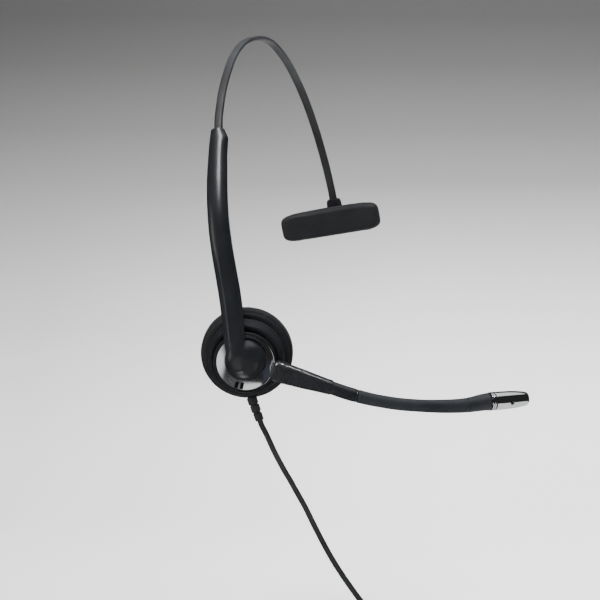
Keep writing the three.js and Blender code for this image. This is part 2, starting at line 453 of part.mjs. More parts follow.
// ---------------------------------------------------------------- far side: holder, pin, bar and pad
const bandEnd = bandCurve.getPointAt(1), endT = bandCurve.getTangentAt(1);
const HZ = endT.clone().multiplyScalar(-1), HY = F.clone().cross(endT).normalize(), HX = HY.clone().cross(HZ);
const atEnd = (g) => framed(g, bandEnd, HX, HY, HZ);
const PIN_Z = -6.5;
const crossPin = (r, x0, x1, seg = 16) => { const g = turned([[0, x0], [r, x0], [r, x1], [0, x1]], seg, false); g.rotateY(Math.PI / 2); g.translate(0, 0, PIN_Z); return g; };
{
  const outline = (x, y, c) => [[x - c, y], [-x + c, y], [-x, y - c], [-x, -y + c], [-x + c, -y], [x - c, -y], [x, -y + c], [x, y - c]];
  const body = loft([[-9.2, 4.3, 2.0, 0.9], [-8.4, 4.7, 2.6, 0.9], [-1, 4.8, 2.7, 0.9], [5.2, 4.2, 2.7, 0.9], [6.6, 3.5, 2.4, 0.9]].map(([z, x, y, c]) => ringAt(V(0, 0, z), V(1, 0, 0), V(0, 1, 0), outline(x, y, c))));
  const socket = box(-2.7, 2.7, -1.65, 1.65, -0.3, 9);
  const yoke = box(-2.2, 2.2, -5, 5, -12, -2.6);
  add(headset, 'tbar_holder', atEnd(cut(body, socket, yoke, crossPin(1.2, -8, 8))), satinBlack());
  add(headset, 'tbar_pin', atEnd(crossPin(0.9, -4.9, 4.9)), steel());
  // bar: curved plate with a knuckle on the pin
  const bar = (x0, x1, y0, y1, hz, n, bow, round) => loft(span(x0, x1, n).map((x) => {
    const k = x / x1, off = bow * k * k, h = hz * Math.sqrt(Math.max(0.08, 1 - Math.abs(k) ** round));
    return [[h, y1], [-h, y1], [-h, y0], [h, y0]].map(([z, y]) => V(x, y - off, PIN_Z + z));
  }));
  const plate = bar(-TBAR_L / 2, TBAR_L / 2, -7.0, -5.2, 6.4, 14, 3.0, 6);
  const neck = box(-1.9, 1.9, -5.9, 0, PIN_Z - 2.1, PIN_Z + 2.1);
  const knuckle = (() => { const g = turned([[0, -1.9], [2.3, -1.9], [2.3, 1.9], [0, 1.9]], 18, false); g.rotateY(Math.PI / 2); g.translate(0, 0, PIN_Z); return g; })();
  add(headset, 'tbar_plate', atEnd(cut(join(plate, neck, knuckle), crossPin(1.2, -8, 8))), satinBlack());
  const pad = loft(span(-PAD_L / 2, PAD_L / 2, 15).map((x) => {
    const k = x / (PAD_L / 2), off = 3.4 * k * k, e = Math.sqrt(Math.max(0.12, 1 - Math.abs(k) ** 5));
    const h = (PAD_H / 2) * e, y1 = -7.3, y0 = -7.3 - PAD_T;
    return [[h - 1.5, y1], [-h + 1.5, y1], [-h, y1 - 2], [-h, y0 + 2.4], [-h + 2.6, y0], [h - 2.6, y0], [h, y0 + 2.4], [h, y1 - 2]].map(([z, y]) => V(x, y - off, PIN_Z + z));
  }));
  add(headset, 'temple_pad', atEnd(pad), leather());
}

// ---------------------------------------------------------------- cord: lead, coil, tail, tie and connector
const cordZ = FLOOR_Z + 0.8 + CORD_D / 2;
const leadPts = [reliefEnd.clone().addScaledVector(reliefDirWorld, GAP), reliefEnd.clone().addScaledVector(reliefDirWorld, 3), V(13.5, -7.2, -46.0), V(15.4, -6.25, -50.5), V(17.75, -5.25, -56.1), V(20.4, -4.2, -61.7),
  V(23.3, -3.1, -67.4), V(26.5, -2.1, -73.0), V(29.35, -0.9, -78.6), V(33.9, 1.6, -87.8), V(39.3, 3.6, -99.4), V(44.9, 5.7, -110.9), V(50.6, 7.7, -121.3), V(56.8, 10.0, -131.2), V(63.1, 12.3, -140.4), V(67.6, 13.95, -145.9), V(71.6, 15.4, -149.2), V(75.4, 16.8, -151.2)];
const section = new THREE.Shape(Array.from({ length: 8 }, (_, i) => new THREE.Vector2((CORD_D / 2) * Math.cos((i / 8) * 2 * Math.PI), (CORD_D / 2) * Math.sin((i / 8) * 2 * Math.PI))));
const cordTube = (pts, steps) => new THREE.ExtrudeGeometry(section, { steps, bevelEnabled: false, extrudePath: new THREE.CatmullRomCurve3(pts, false, 'centripetal') });
const coilIn = COIL_R - 1.5 * CORD_D - 0.2, coilOut = COIL_R + 1.5 * CORD_D + 0.2;
add(headset, 'cord_lead', cordTube(leadPts, 26), rubber());
{
  const z0 = FLOOR_Z + 0.7, z1 = FLOOR_Z + 0.8 + 2 * CORD_D + 0.3;
  const g = turned([[coilIn + 1.2, z0], [coilOut - 1.2, z0], [coilOut, z0 + 1.4], [coilOut, z1 - 1.4], [coilOut - 1.2, z1], [coilIn + 1.2, z1], [coilIn, z1 - 1.4], [coilIn, z0 + 1.4]], 26);
  g.translate(COIL_C[0], COIL_C[1], 0);
  add(headset, 'cord_coil', g, rubber());
  const tie = cut(box(coilIn - 1.5, coilOut + 0.8, -4, 4, FLOOR_Z, z1 + 0.7), box(coilIn - 1.0, coilOut + 0.3, -6, 6, z0 - 0.25, z1 + 0.25));
  tie.rotateZ(rad(-15));
  tie.translate(COIL_C[0], COIL_C[1], 0);
  add(headset, 'cord_tie', tie, cloth());
}
// tail of the cord, off the coil's outer turn on the near side, and the quick connector beside the coil
const tailDir = V(-0.966, -0.2588, 0);
const tailStart = V(COIL_C[0] + (COIL_R + CORD_D) * 0.2588, COIL_C[1] - (COIL_R + CORD_D) * 0.966, cordZ);
const plugZ = FLOOR_Z + 4.35;
{
  const q = (k, s, z = cordZ) => tailStart.clone().addScaledVector(tailDir, k).add(V(tailDir.y * s, -tailDir.x * s, z - cordZ));
  add(headset, 'cord_tail', cordTube([q(13.4, 0, plugZ + 0.99), q(17, 0, plugZ + 0.73), q(20.5, 0, plugZ + 0.47), q(24, 0, plugZ + 0.25), q(28, 0, plugZ + 0.07), q(32, 0, plugZ)], 8), rubber());
  const o = q(32 + GAP, 0, plugZ), side = V(-tailDir.y, tailDir.x, 0), up = V(0, 0, 1);
  const C = (g) => framed(g, o, side, up, side.clone().cross(up));
  const dirSign = side.clone().cross(up).dot(tailDir) > 0 ? 1 : -1;
  const flip = (g) => { if (dirSign < 0) { g.rotateY(Math.PI); } return g; };
  add(headset, 'connector_relief', C(flip(turned([[0, 0], [2.2, 0], [2.3, 1.6], [1.95, 1.9], [2.0, 2.6], [2.5, 2.9], [2.6, 4.4], [2.2, 4.7], [2.25, 5.4], [2.8, 5.7], [2.9, 8.0], [0, 8.0]], 14, false))), rubber());
  const ring = (z, x, y, n = 0.55) => ringAt(V(0, 0, z), V(1, 0, 0), V(0, 1, 0), roundSection(x, x, y, y, 20, n, n));
  const shell = loft([ring(8.3, 4.2, 3.0), ring(9.2, 5.0, 3.7), ring(14, 6.2, 4.1), ring(20, 6.0, 4.0), ring(24, 6.4, 4.2), ring(34, 6.6, 4.3), ring(37.4, 6.6, 4.3), ring(38.0, 6.3, 4.0)]);
  const pocket = box(-5.2, 5.2, -2.7, 2.7, 27, 45);
  add(headset, 'connector_shell', C(flip(cut(shell, pocket))), satinBlack());
  const slots = [-3, -1, 1, 3].map((x) => box(x - 0.65, x + 0.65, -1.5, 1.5, 29.5, 50));
  add(headset, 'connector_insert', C(flip(cut(box(-4.8, 4.8, -2.3, 2.3, 27.4, 40.6), ...slots))), matteBlack());
  [-3, -1, 1, 3].forEach((x, i) => add(headset, `connector_contact_${i + 1}`, C(flip(box(x - 0.3, x + 0.3, -1.1, 1.1, 29.9, 39.4))), gold()));
}

export default headset;
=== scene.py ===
import math
import bmesh
import bpy
from mathutils import Matrix, Vector
from mathutils.bvhtree import BVHTree


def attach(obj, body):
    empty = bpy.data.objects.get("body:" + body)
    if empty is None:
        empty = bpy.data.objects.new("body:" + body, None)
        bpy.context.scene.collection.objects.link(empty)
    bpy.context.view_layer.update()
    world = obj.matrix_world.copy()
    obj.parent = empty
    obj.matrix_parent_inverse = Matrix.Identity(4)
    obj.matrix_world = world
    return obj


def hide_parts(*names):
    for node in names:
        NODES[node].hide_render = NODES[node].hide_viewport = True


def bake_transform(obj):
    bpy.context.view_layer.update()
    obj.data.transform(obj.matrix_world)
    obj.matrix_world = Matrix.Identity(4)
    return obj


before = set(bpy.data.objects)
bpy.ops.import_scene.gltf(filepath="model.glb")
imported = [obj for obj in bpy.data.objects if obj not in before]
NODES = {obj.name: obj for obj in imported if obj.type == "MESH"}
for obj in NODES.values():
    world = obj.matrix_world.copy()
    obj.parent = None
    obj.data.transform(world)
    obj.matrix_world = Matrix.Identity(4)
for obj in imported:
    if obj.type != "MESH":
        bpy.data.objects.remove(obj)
MM = 0.001

# ------------------------------------------------------------------ frames of the object, in millimetres
YAW, TILT, LEAN = math.radians(18), math.radians(15), math.radians(8)
N = Vector((math.sin(YAW) * math.cos(TILT), -math.cos(YAW) * math.cos(TILT), -math.sin(TILT)))
E1 = Vector((math.cos(YAW), math.sin(YAW), 0))
E2 = N.cross(E1)
F = Vector((math.cos(LEAN), 0, math.sin(LEAN)))
UP = Vector((0, 0, 1))


def V(x, y, z):
    return Vector((x, y, z))


def at_cup(x, y, s):
    return E1 * x + E2 * y + N * s


def in_plane(u, w):
    return V(5.58 - math.sin(LEAN) * w, u, 3.43 + math.cos(LEAN) * w)


def dir_plane(du, dw):
    return V(-math.sin(LEAN) * dw, du, math.cos(LEAN) * dw).normalized()


def height_of(p):
    return (p.z - 3.43) / math.cos(LEAN)


def smooth(x, a=0.0, b=1.0):
    t = min(max((x - a) / (b - a), 0.0), 1.0)
    return t * t * (3 - 2 * t)


def lerp_table(table, x):
    if x <= table[0][0]:
        return list(table[0][1:])
    for p, q in zip(table, table[1:]):
        if x <= q[0]:
            k = (x - p[0]) / (q[0] - p[0])
            return [a + (b - a) * k for a, b in zip(p[1:], q[1:])]
    return list(table[-1][1:])


def soft_table(table, x, width):
    """The table's value with its corners rounded over a width."""
    ks = (-1, -0.6, -0.25, 0, 0.25, 0.6, 1)
    rows = [lerp_table(table, x + k * width) for k in ks]
    ws = (0.4, 0.8, 1, 1, 1, 0.8, 0.4)
    return [sum(r[i] * w for r, w in zip(rows, ws)) / sum(ws) for i in range(len(rows[0]))]


class Curve:
    """Smooth curve through points, by distance along it in millimetres."""

    def __init__(self, points, n=48):
        pts = [Vector(p) for p in points]
        out = []
        for i in range(len(pts) - 1):
            p1, p2 = pts[i], pts[i + 1]
            p0 = pts[i - 1] if i > 0 else p1 * 2 - p2
            p3 = pts[i + 2] if i + 2 < len(pts) else p2 * 2 - p1
            d0, d1, d2 = [max((b - a).length_squared ** 0.25, 1e-4) for a, b in ((p0, p1), (p1, p2), (p2, p3))]
            t1 = ((p1 - p0) / d0 - (p2 - p0) / (d0 + d1) + (p2 - p1) / d1) * d1
            t2 = ((p2 - p1) / d1 - (p3 - p1) / (d1 + d2) + (p3 - p2) / d2) * d1
            c2, c3 = (p2 - p1) * 3 - t1 * 2 - t2, (p1 - p2) * 2 + t1 + t2
            for k in range(n):
                t = k / n
                out.append(p1 + t1 * t + c2 * t * t + c3 * t * t * t)
        out.append(pts[-1])
        self.p = out
        self.d = [0.0]
        for a, b in zip(out, out[1:]):
            self.d.append(self.d[-1] + (b - a).length)
        self.length = self.d[-1]

    def at(self, d):
        d = min(max(d, 0.0), self.length)
        lo, hi = 0, len(self.d) - 1
        while hi - lo > 1:
            m = (lo + hi) // 2
            if self.d[m] <= d:
                lo = m
            else:
                hi = m
        k = (d - self.d[lo]) / max(self.d[hi] - self.d[lo], 1e-9)
        return self.p[lo].lerp(self.p[hi], k)

    def tangent(self, d, h=0.6):
        a, b = max(d - h, 0.0), min(d + h, self.length)
        return (self.at(b) - self.at(a)).normalized()


def span(a, b, n):
    return [a + (b - a) * i / n for i in range(n + 1)]


# ------------------------------------------------------------------ meshes
def fillet(points, radii, closed=True, n=5):
    """A polygon's corners rounded, each by its own radius."""
    pts = [Vector((p[0], p[1])) for p in points]
    m = len(pts)
    if not hasattr(radii, "__len__"):
        radii = [radii] * m
    out = []
    for i, b in enumerate(pts):
        r = radii[i]
        if r <= 0 or (not closed and i in (0, m - 1)):
            out.append(b)
            continue
        u, v = pts[i - 1] - b, pts[(i + 1) % m] - b
        lu, lv = u.length, v.length
        u.normalize()
        v.normalize()
        ang = u.angle(v)
        if ang > math.radians(176):
            out += [b] if n < 1 else [b.copy()]
            continue
        t = min(r / math.tan(ang / 2), lu * 0.48, lv * 0.48)
        rr = t * math.tan(ang / 2)
        c = b + (u + v).normalized() * (rr / math.sin(ang / 2))
        a0, a1 = b + u * t - c, b + v * t - c
        th = a0.angle(a1)
        for k in range(n + 1):
            w = k / n
            out.append(c + (a0 * math.sin((1 - w) * th) + a1 * math.sin(w * th)) / math.sin(th))
    return [(p.x, p.y) for p in out]


def make(name, verts, faces, sharp=None):
    """A mesh object from points in millimetres, turned outwards."""
    me = bpy.data.meshes.new(name)
    me.from_pydata([tuple(Vector(v) * MM) for v in verts], [], faces)
    bm = bmesh.new()
    bm.from_mesh(me)
    bmesh.ops.remove_doubles(bm, verts=bm.verts, dist=1e-7)
    bmesh.ops.recalc_face_normals(bm, faces=bm.faces)
    if bm.calc_volume(signed=True) < 0:
        bmesh.ops.reverse_faces(bm, faces=bm.faces)
    bm.to_mesh(me)
    bm.free()
    me.polygons.foreach_set("use_smooth", [True] * len(me.polygons))
    if sharp is not None:
        me.set_sharp_from_angle(angle=math.radians(sharp))
    ob = bpy.data.objects.new(name, me)
    bpy.context.scene.collection.objects.link(ob)
    return ob


def lathe_mesh(profile, place, seg=128):
    verts, rings = [], []
    for r, s in profile:
        if r < 1e-6:
            rings.append([len(verts)])
            verts.append(place(0, 0, s))
        else:
            ring = []
            for j in range(seg):
                a = 2 * math.pi * j / seg
                ring.append(len(verts))
                verts.append(place(r * math.cos(a), r * math.sin(a), s))
            rings.append(ring)
    faces = []
    whole = all(len(r) > 1 for r in rings)
    pairs = list(zip(rings, rings[1:] + ([rings[0]] if whole else [])))
    if not whole:
        pairs = list(zip(rings, rings[1:]))
    for a, b in pairs:
        for j in range(seg):
            k = (j + 1) % seg
            if len(a) == 1 and len(b) == 1:
                continue
            if len(a) == 1:
                faces.append((a[0], b[j], b[k]))
            elif len(b) == 1:
                faces.append((a[j], a[k], b[0]))
            else:
                faces.append((a[j], a[k], b[k], b[j]))
    return verts, faces


def lathe(name, profile, place=at_cup, seg=128, sharp=None):
    v, f = lathe_mesh(profile, place, seg)
    return make(name, v, f, sharp)


def loft_mesh(rings, cap_start=True, cap_end=True):
    n = len(rings[0])
    verts = [p for r in rings for p in r]
    faces = []
    for i in range(len(rings) - 1):
        for j in range(n):
            k = (j + 1) % n
            faces.append((i * n + j, i * n + k, (i + 1) * n + k, (i + 1) * n + j))
    for on, base, ring in ((cap_start, 0, rings[0]), (cap_end, (len(rings) - 1) * n, rings[-1])):
        if on:
            c = sum((Vector(p) for p in ring), V(0, 0, 0)) / n
            ci = len(verts)
            verts.append(c)
            for j in range(n):
                faces.append((base + j, base + (j + 1) % n, ci))
    return verts, faces


def loft(name, rings, sharp=None, **kw):
    v, f = loft_mesh(rings, **kw)
    return make(name, v, f, sharp)


def ring_at(p, x, y, section):
    return [p + x * a + y * b for a, b in section]


def circle(r, n=40):
    return [(r * math.cos(2 * math.pi * i / n), r * math.sin(2 * math.pi * i / n)) for i in range(n)]


def superellipse(xp, xn, yp, yn, ep=1.0, en=1.0, n=48):
    out = []
    for i in range(n):
        t = 2 * math.pi * (i + 0.5) / n
        c, s = math.cos(t), math.sin(t)
        e = ep if s > 0 else en
        x = math.copysign(abs(c) ** e, c)
        y = math.copysign(abs(s) ** e, s)
        out.append(((xp if x > 0 else xn) * x, (yp if y > 0 else yn) * y))
    return out


def rounded_tube(name, curve, d0, d1, radius, n=60, sides=40, end=0.5, ref=UP):
    """Round rod along a curve with rounded rims; radius is a function of the distance."""
    ds, rr = [], []
    for k in range(7):
        a = math.pi / 2 * k / 6
        ds.append(d0 + end * (1 - math.sin(a)) if False else d0 + end * (1 - math.cos(a)))
        rr.append(radius(d0 + end) - end * (1 - math.sin(a)))
    for d in span(d0 + end, d1 - end, n)[1:-1]:
        ds.append(d)
        rr.append(radius(d))
    for k in range(7):
        a = math.pi / 2 * (1 - k / 6)
        ds.append(d1 - end * (1 - math.cos(a)))
        rr.append(radius(d1 - end) - end * (1 - math.sin(a)))
    rings = []
    for d, r in zip(ds, rr):
        p, t = curve.at(d), curve.tangent(d)
        x = ref.cross(t).normalized()
        y = t.cross(x)
        rings.append(ring_at(p, x, y, circle(r, sides)))
    return loft(name, rings, sharp=50)


def stepped_tube(name, curve, rows, sides=48):
    """Round rod along a curve from (distance, radius) rows, with both ends closed."""
    rings = []
    for d, r in rows:
        p, t = curve.at(d), curve.tangent(min(max(d, 0.6), curve.length - 0.6))
        if d < 0:
            p = curve.at(0) + t * d
        x = UP.cross(t).normalized()
        rings.append(ring_at(p, x, t.cross(x), circle(r, sides)))
    return loft(name, rings, sharp=50)


def apply_all(ob):
    bpy.context.view_layer.update()
    dg = bpy.context.evaluated_depsgraph_get()
    me = bpy.data.meshes.new_from_object(ob.evaluated_get(dg))
    ob.modifiers.clear()
    old = ob.data
    ob.data = me
    bpy.data.meshes.remove(old)
    return ob


def shade(ob, sharp=None):
    me = ob.data
    me.polygons.foreach_set("use_smooth", [True] * len(me.polygons))
    if sharp is not None:
        me.set_sharp_from_angle(angle=math.radians(sharp))
    return ob


def boolean(ob, tools, op="DIFFERENCE"):
    for t in tools:
        m = ob.modifiers.new("cut", "BOOLEAN")
        m.operation = op
        m.solver = "EXACT"
        m.object = t
        apply_all(ob)
        bpy.data.objects.remove(t)
    bm = bmesh.new()
    bm.from_mesh(ob.data)
    bmesh.ops.remove_doubles(bm, verts=bm.verts, dist=2e-7)
    bmesh.ops.dissolve_degenerate(bm, edges=bm.edges, dist=1e-7)
    bm.to_mesh(ob.data)
    bm.free()
    return ob


def copy_of(node, name, bevel=0.0, segments=2, sharp=32):
    """A finer piece made from a CAD node's own shape, with its edges rounded."""
    src = NODES[node]
    me = src.data.copy()
    ob = bpy.data.objects.new(name, me)
    bpy.context.scene.collection.objects.link(ob)
    me.materials.clear()
    bm = bmesh.new()
    bm.from_mesh(me)
    bmesh.ops.remove_doubles(bm, verts=bm.verts, dist=2e-6)
    bmesh.ops.dissolve_limit(bm, angle_limit=math.radians(1.0), verts=bm.verts, edges=bm.edges)
    bmesh.ops.recalc_face_normals(bm, faces=bm.faces)
    bm.to_mesh(me)
    bm.free()
    if bevel > 0:
        b = ob.modifiers.new("bevel", "BEVEL")
        b.width = bevel * MM
        b.segments = segments
        b.limit_method = "ANGLE"
        b.angle_limit = math.radians(sharp)
        b.use_clamp_overlap = True
        apply_all(ob)
    return shade(ob, sharp)


# ------------------------------------------------------------------ materials
def nodes_of(name):
    m = bpy.data.materials.new(name)
    m.use_nodes = True
    nt = m.node_tree
    nt.nodes.clear()
    out = nt.nodes.new("ShaderNodeOutputMaterial")
    b = nt.nodes.new("ShaderNodeBsdfPrincipled")
    nt.links.new(b.outputs[0], out.inputs[0])
    return m, nt, b


def noise(nt, vec, scale, detail=3, rough=0.55, dist=0.0):
    n = nt.nodes.new("ShaderNodeTexNoise")
    n.inputs["Scale"].default_value = scale
    n.inputs["Detail"].default_value = detail
    n.inputs["Roughness"].default_value = rough
    n.inputs["Distortion"].default_value = dist
    nt.links.new(vec, n.inputs["Vector"])
    return n.outputs[0]


def coords(nt, scale=None):
    tc = nt.nodes.new("ShaderNodeTexCoord")
    if scale is None:
        return tc.outputs["Object"]
    mp = nt.nodes.new("ShaderNodeMapping")
    mp.inputs["Scale"].default_value = scale
    nt.links.new(tc.outputs["Object"], mp.inputs["Vector"])
    return mp.outputs[0]


def remap(nt, val, a, b, lo=0.0, hi=1.0):
    r = nt.nodes.new("ShaderNodeMapRange")
    r.inputs["From Min"].default_value = lo
    r.inputs["From Max"].default_value = hi
    r.inputs["To Min"].default_value = a
    r.inputs["To Max"].default_value = b
    nt.links.new(val, r.inputs["Value"])
    return r.outputs[0]


def math_node(nt, op, a, b):
    n = nt.nodes.new("ShaderNodeMath")
    n.operation = op
    for i, x in enumerate((a, b)):
        if isinstance(x, (int, float)):
            n.inputs[i].default_value = x
        else:
            nt.links.new(x, n.inputs[i])
    return n.outputs[0]


def mix_colour(nt, fac, a, b):
    n = nt.nodes.new("ShaderNodeMix")
    n.data_type = "RGBA"
    nt.links.new(fac, n.inputs[0])
    for sock, c in ((n.inputs[6], a), (n.inputs[7], b)):
        if isinstance(c, (tuple, list)):
            sock.default_value = (*c[:3], 1)
        else:
            nt.links.new(c, sock)
    return n.outputs[2]


def bump(nt, bsdf, height, strength, distance, before=None):
    b = nt.nodes.new("ShaderNodeBump")
    b.inputs["Strength"].default_value = strength
    b.inputs["Distance"].default_value = distance
    nt.links.new(height, b.inputs["Height"])
    if before is not None:
        nt.links.new(before, b.inputs["Normal"])
    nt.links.new(b.outputs[0], bsdf.inputs["Normal"])
    return b.outputs[0]


def edge_wear(nt, lo=0.52, hi=0.62):
    g = nt.nodes.new("ShaderNodeNewGeometry")
    return remap(nt, g.outputs["Pointiness"], 0.0, 1.0, lo, hi)


def plastic(name, colour, rough, grain=0.25, grain_scale=3200, grain_mm=0.008, spread=0.05, lift=1.25, wear=0.0, spec=0.5, coat=0.0):
    """Moulded plastic: fine spark grain, slow changes of tone and gloss, lightly rubbed edges."""
    m, nt, b = nodes_of(name)
    v = coords(nt)
    slow = noise(nt, v, 55, 3)
    fine = noise(nt, v, grain_scale, 2, 0.6)
    dark = tuple(c / lift for c in colour)
    lite = tuple(c * lift for c in colour)
    col = mix_colour(nt, remap(nt, slow, 0, 1, 0.3, 0.7), dark, lite)
    if wear > 0:
        w = edge_wear(nt)
        broken = math_node(nt, "MULTIPLY", w, remap(nt, noise(nt, v, 420, 4), 0, 1, 0.4, 0.65))
        amount = math_node(nt, "MULTIPLY", broken, wear)
        col = mix_colour(nt, amount, col, tuple(min(1, c * 2.5 + 0.02) for c in colour))
    nt.links.new(col, b.inputs["Base Color"])
    r = remap(nt, math_node(nt, "ADD", noise(nt, v, 160, 4), math_node(nt, "MULTIPLY", fine, 0.4)), rough - spread, rough + spread, 0.35, 1.05)
    nt.links.new(r, b.inputs["Roughness"])
    b.inputs["Specular IOR Level"].default_value = spec
    if coat:
        b.inputs["Coat Weight"].default_value = coat
        b.inputs["Coat Roughness"].default_value = 0.12
    bump(nt, b, fine, grain, grain_mm * MM)
    return m


def leatherette(name, colour, rough=0.55):
    """Soft foil leather: pebbled grain, fine creases, a little sheen."""
    m, nt, b = nodes_of(name)
    v = coords(nt)
    vo = nt.nodes.new("ShaderNodeTexVoronoi")
    vo.feature = "DISTANCE_TO_EDGE"
    vo.inputs["Scale"].default_value = 1250
    warp = nt.nodes.new("ShaderNodeMix")
    warp.data_type = "VECTOR"
    warp.inputs[0].default_value = 0.0006
    nt.links.new(v, warp.inputs[4])
    nz = nt.nodes.new("ShaderNodeTexNoise")
    nz.inputs["Scale"].default_value = 300
    nt.links.new(v, nz.inputs["Vector"])
    nt.links.new(nz.outputs["Color"], warp.inputs[5])
    nt.links.new(warp.outputs[1], vo.inputs["Vector"])
    pebble = remap(nt, vo.outputs["Distance"], 0, 1, 0.0, 0.22)
    crease = noise(nt, v, 210, 5, 0.62, 0.6)
    h = math_node(nt, "ADD", math_node(nt, "MULTIPLY", pebble, 0.6), math_node(nt, "MULTIPLY", crease, 0.9))
    slow = noise(nt, v, 70, 3)
    base = mix_colour(nt, remap(nt, slow, 0, 1, 0.3, 0.7), tuple(c * 0.8 for c in colour), tuple(c * 1.25 for c in colour))
    # the grooves between the pebbles are painted darker: painted shade in the grain
    col = mix_colour(nt, remap(nt, pebble, 0.55, 0.0), base, tuple(c * 0.55 for c in colour))
    nt.links.new(col, b.inputs["Base Color"])
    nt.links.new(remap(nt, pebble, rough + 0.12, rough - 0.06), b.inputs["Roughness"])
    b.inputs["Specular IOR Level"].default_value = 0.35
    b.inputs["Sheen Weight"].default_value = 0.03
    b.inputs["Sheen Roughness"].default_value = 0.45
    bump(nt, b, h, 0.55, 0.05 * MM)
    return m


def chrome(name, rough=0.045, colour=(0.86, 0.87, 0.885)):
    """Bright plating: near mirror, with faint wiping haze and hairlines."""
    m, nt, b = nodes_of(name)
    v = coords(nt)
    haze = noise(nt, v, 130, 4, 0.6)
    hair = noise(nt, coords(nt, (9000, 700, 700)), 1.0, 2, 0.5)
    col = mix_colour(nt, haze, tuple(c * 0.97 for c in colour), colour)
    nt.links.new(col, b.inputs["Base Color"])
    b.inputs["Metallic"].default_value = 1.0
    r = remap(nt, math_node(nt, "ADD", haze, math_node(nt, "MULTIPLY", hair, 0.35)), rough * 0.7, rough * 1.7, 0.35, 0.95)
    nt.links.new(r, b.inputs["Roughness"])
    bump(nt, b, hair, 0.05, 0.002 * MM)
    return m


def metal(name, colour, rough=0.3, brush=(300, 300, 5000)):
    m, nt, b = nodes_of(name)
    v = coords(nt)
    streak = noise(nt, coords(nt, brush), 1.0, 3, 0.6)
    slow = noise(nt, v, 120, 3)
    nt.links.new(mix_colour(nt, slow, tuple(c * 0.82 for c in colour), tuple(min(1, c * 1.08) for c in colour)), b.inputs["Base Color"])
    b.inputs["Metallic"].default_value = 1.0
    nt.links.new(remap(nt, streak, rough - 0.08, rough + 0.12, 0.3, 0.7), b.inputs["Roughness"])
    bump(nt, b, streak, 0.15, 0.004 * MM)
    return m


def rubber(name, colour, rough=0.6, spec=0.4):
    """Soft PVC or rubber: dull, with a very fine orange skin and paler dust in it."""
    m, nt, b = nodes_of(name)
    v = coords(nt)
    skin = noise(nt, v, 1500, 3, 0.6)
    slow = noise(nt, v, 45, 4)
    dust = noise(nt, v, 900, 5, 0.7)
    col = mix_colour(nt, remap(nt, slow, 0, 1, 0.3, 0.7), tuple(c * 0.8 for c in colour), tuple(c * 1.2 for c in colour))
    col = mix_colour(nt, remap(nt, dust, 0.0, 0.25, 0.62, 0.8), col, tuple(c * 1.6 + 0.004 for c in colour))
    nt.links.new(col, b.inputs["Base Color"])
    nt.links.new(remap(nt, slow, rough - 0.05, rough + 0.08, 0.3, 0.7), b.inputs["Roughness"])
    b.inputs["Specular IOR Level"].default_value = spec
    bump(nt, b, skin, 0.3, 0.012 * MM)
    return m


def cloth(name, colour, pitch=0.55, axes=(E1, E2)):
    """Woven screen cloth: two sets of threads, over and under."""
    m, nt, b = nodes_of(name)
    v = coords(nt)
    waves = []
    for a in axes:
        d = nt.nodes.new("ShaderNodeVectorMath")
        d.operation = "DOT_PRODUCT"
        nt.links.new(v, d.inputs[0])
        d.inputs[1].default_value = tuple(a * (2 * math.pi / (pitch * MM)))
        waves.append(d.outputs["Value"])
    sx = math_node(nt, "SINE", waves[0], 0)
    sy = math_node(nt, "SINE", waves[1], 0)
    h = math_node(nt, "MULTIPLY", sx, sy)
    hx = math_node(nt, "ABSOLUTE", sx, 0)
    hy = math_node(nt, "ABSOLUTE", sy, 0)
    body = math_node(nt, "MAXIMUM", hx, hy)
    h2 = math_node(nt, "ADD", math_node(nt, "MULTIPLY", h, 0.35), body)
    fray = noise(nt, v, 2600, 3)
    # the gaps between the threads are painted dark: painted shade between the threads
    col = mix_colour(nt, remap(nt, body, 0, 1, 0.3, 1.0), tuple(c * 0.25 for c in colour), colour)
    col = mix_colour(nt, remap(nt, fray, 0.0, 0.5, 0.45, 0.8), col, tuple(c * 2.2 for c in colour))
    nt.links.new(col, b.inputs["Base Color"])
    nt.links.new(remap(nt, fray, 0.75, 0.95), b.inputs["Roughness"])
    b.inputs["Sheen Weight"].default_value = 0.3
    bump(nt, b, h2, 0.7, 0.09 * MM)
    return m


def board(name):
    """Printed circuit board: green mask over copper tracks."""
    m, nt, b = nodes_of(name)
    v = coords(nt)
    vo = nt.nodes.new("ShaderNodeTexVoronoi")
    vo.distance = "CHEBYCHEV"
    vo.feature = "F1"
    vo.inputs["Scale"].default_value = 420
    nt.links.new(v, vo.inputs["Vector"])
    track = remap(nt, vo.outputs["Distance"], 0, 1, 0.2, 0.28)
    nt.links.new(mix_colour(nt, track, (0.03, 0.17, 0.06), (0.02, 0.11, 0.045)), b.inputs["Base Color"])
    nt.links.new(remap(nt, noise(nt, v, 300, 3), 0.28, 0.42), b.inputs["Roughness"])
    bump(nt, b, track, 0.4, 0.02 * MM)
    return m


SATIN = plastic("satin_black_plastic", (0.0105, 0.0117, 0.0140), 0.31, grain=0.12, grain_scale=2600, grain_mm=0.005, wear=0.25)
ROOT = plastic("boom_root_plastic", (0.0112, 0.0124, 0.0148), 0.25, grain=0.2, grain_scale=2200, grain_mm=0.008, wear=0.5)
NECK = plastic("mic_neck_plastic", (0.0175, 0.0198, 0.0235), 0.48, grain=0.3, grain_scale=2200, grain_mm=0.012, spec=0.35)
HOUSE = plastic("housing_plastic", (0.009, 0.010, 0.012), 0.46, grain=0.4, grain_scale=1900, grain_mm=0.02, wear=0.4, spec=0.25)
MATTE = plastic("matte_black_plastic", (0.012, 0.0125, 0.0135), 0.6, grain=0.5, grain_scale=1500, grain_mm=0.03, spec=0.35)
BAND = plastic("band_sleeve_plastic", (0.027, 0.0285, 0.031), 0.5, grain=0.15, grain_scale=2100, grain_mm=0.015, spec=0.4)
# the band's colour is painted by height: darker low down and lighter high up, as painted shade and painted light
nt = BAND.node_tree
b = next(n for n in nt.nodes if n.type == "BSDF_PRINCIPLED")
up_band = nt.nodes.new("ShaderNodeSeparateXYZ")
nt.links.new(coords(nt), up_band.inputs[0])
plain = b.inputs["Base Color"].links[0].from_socket
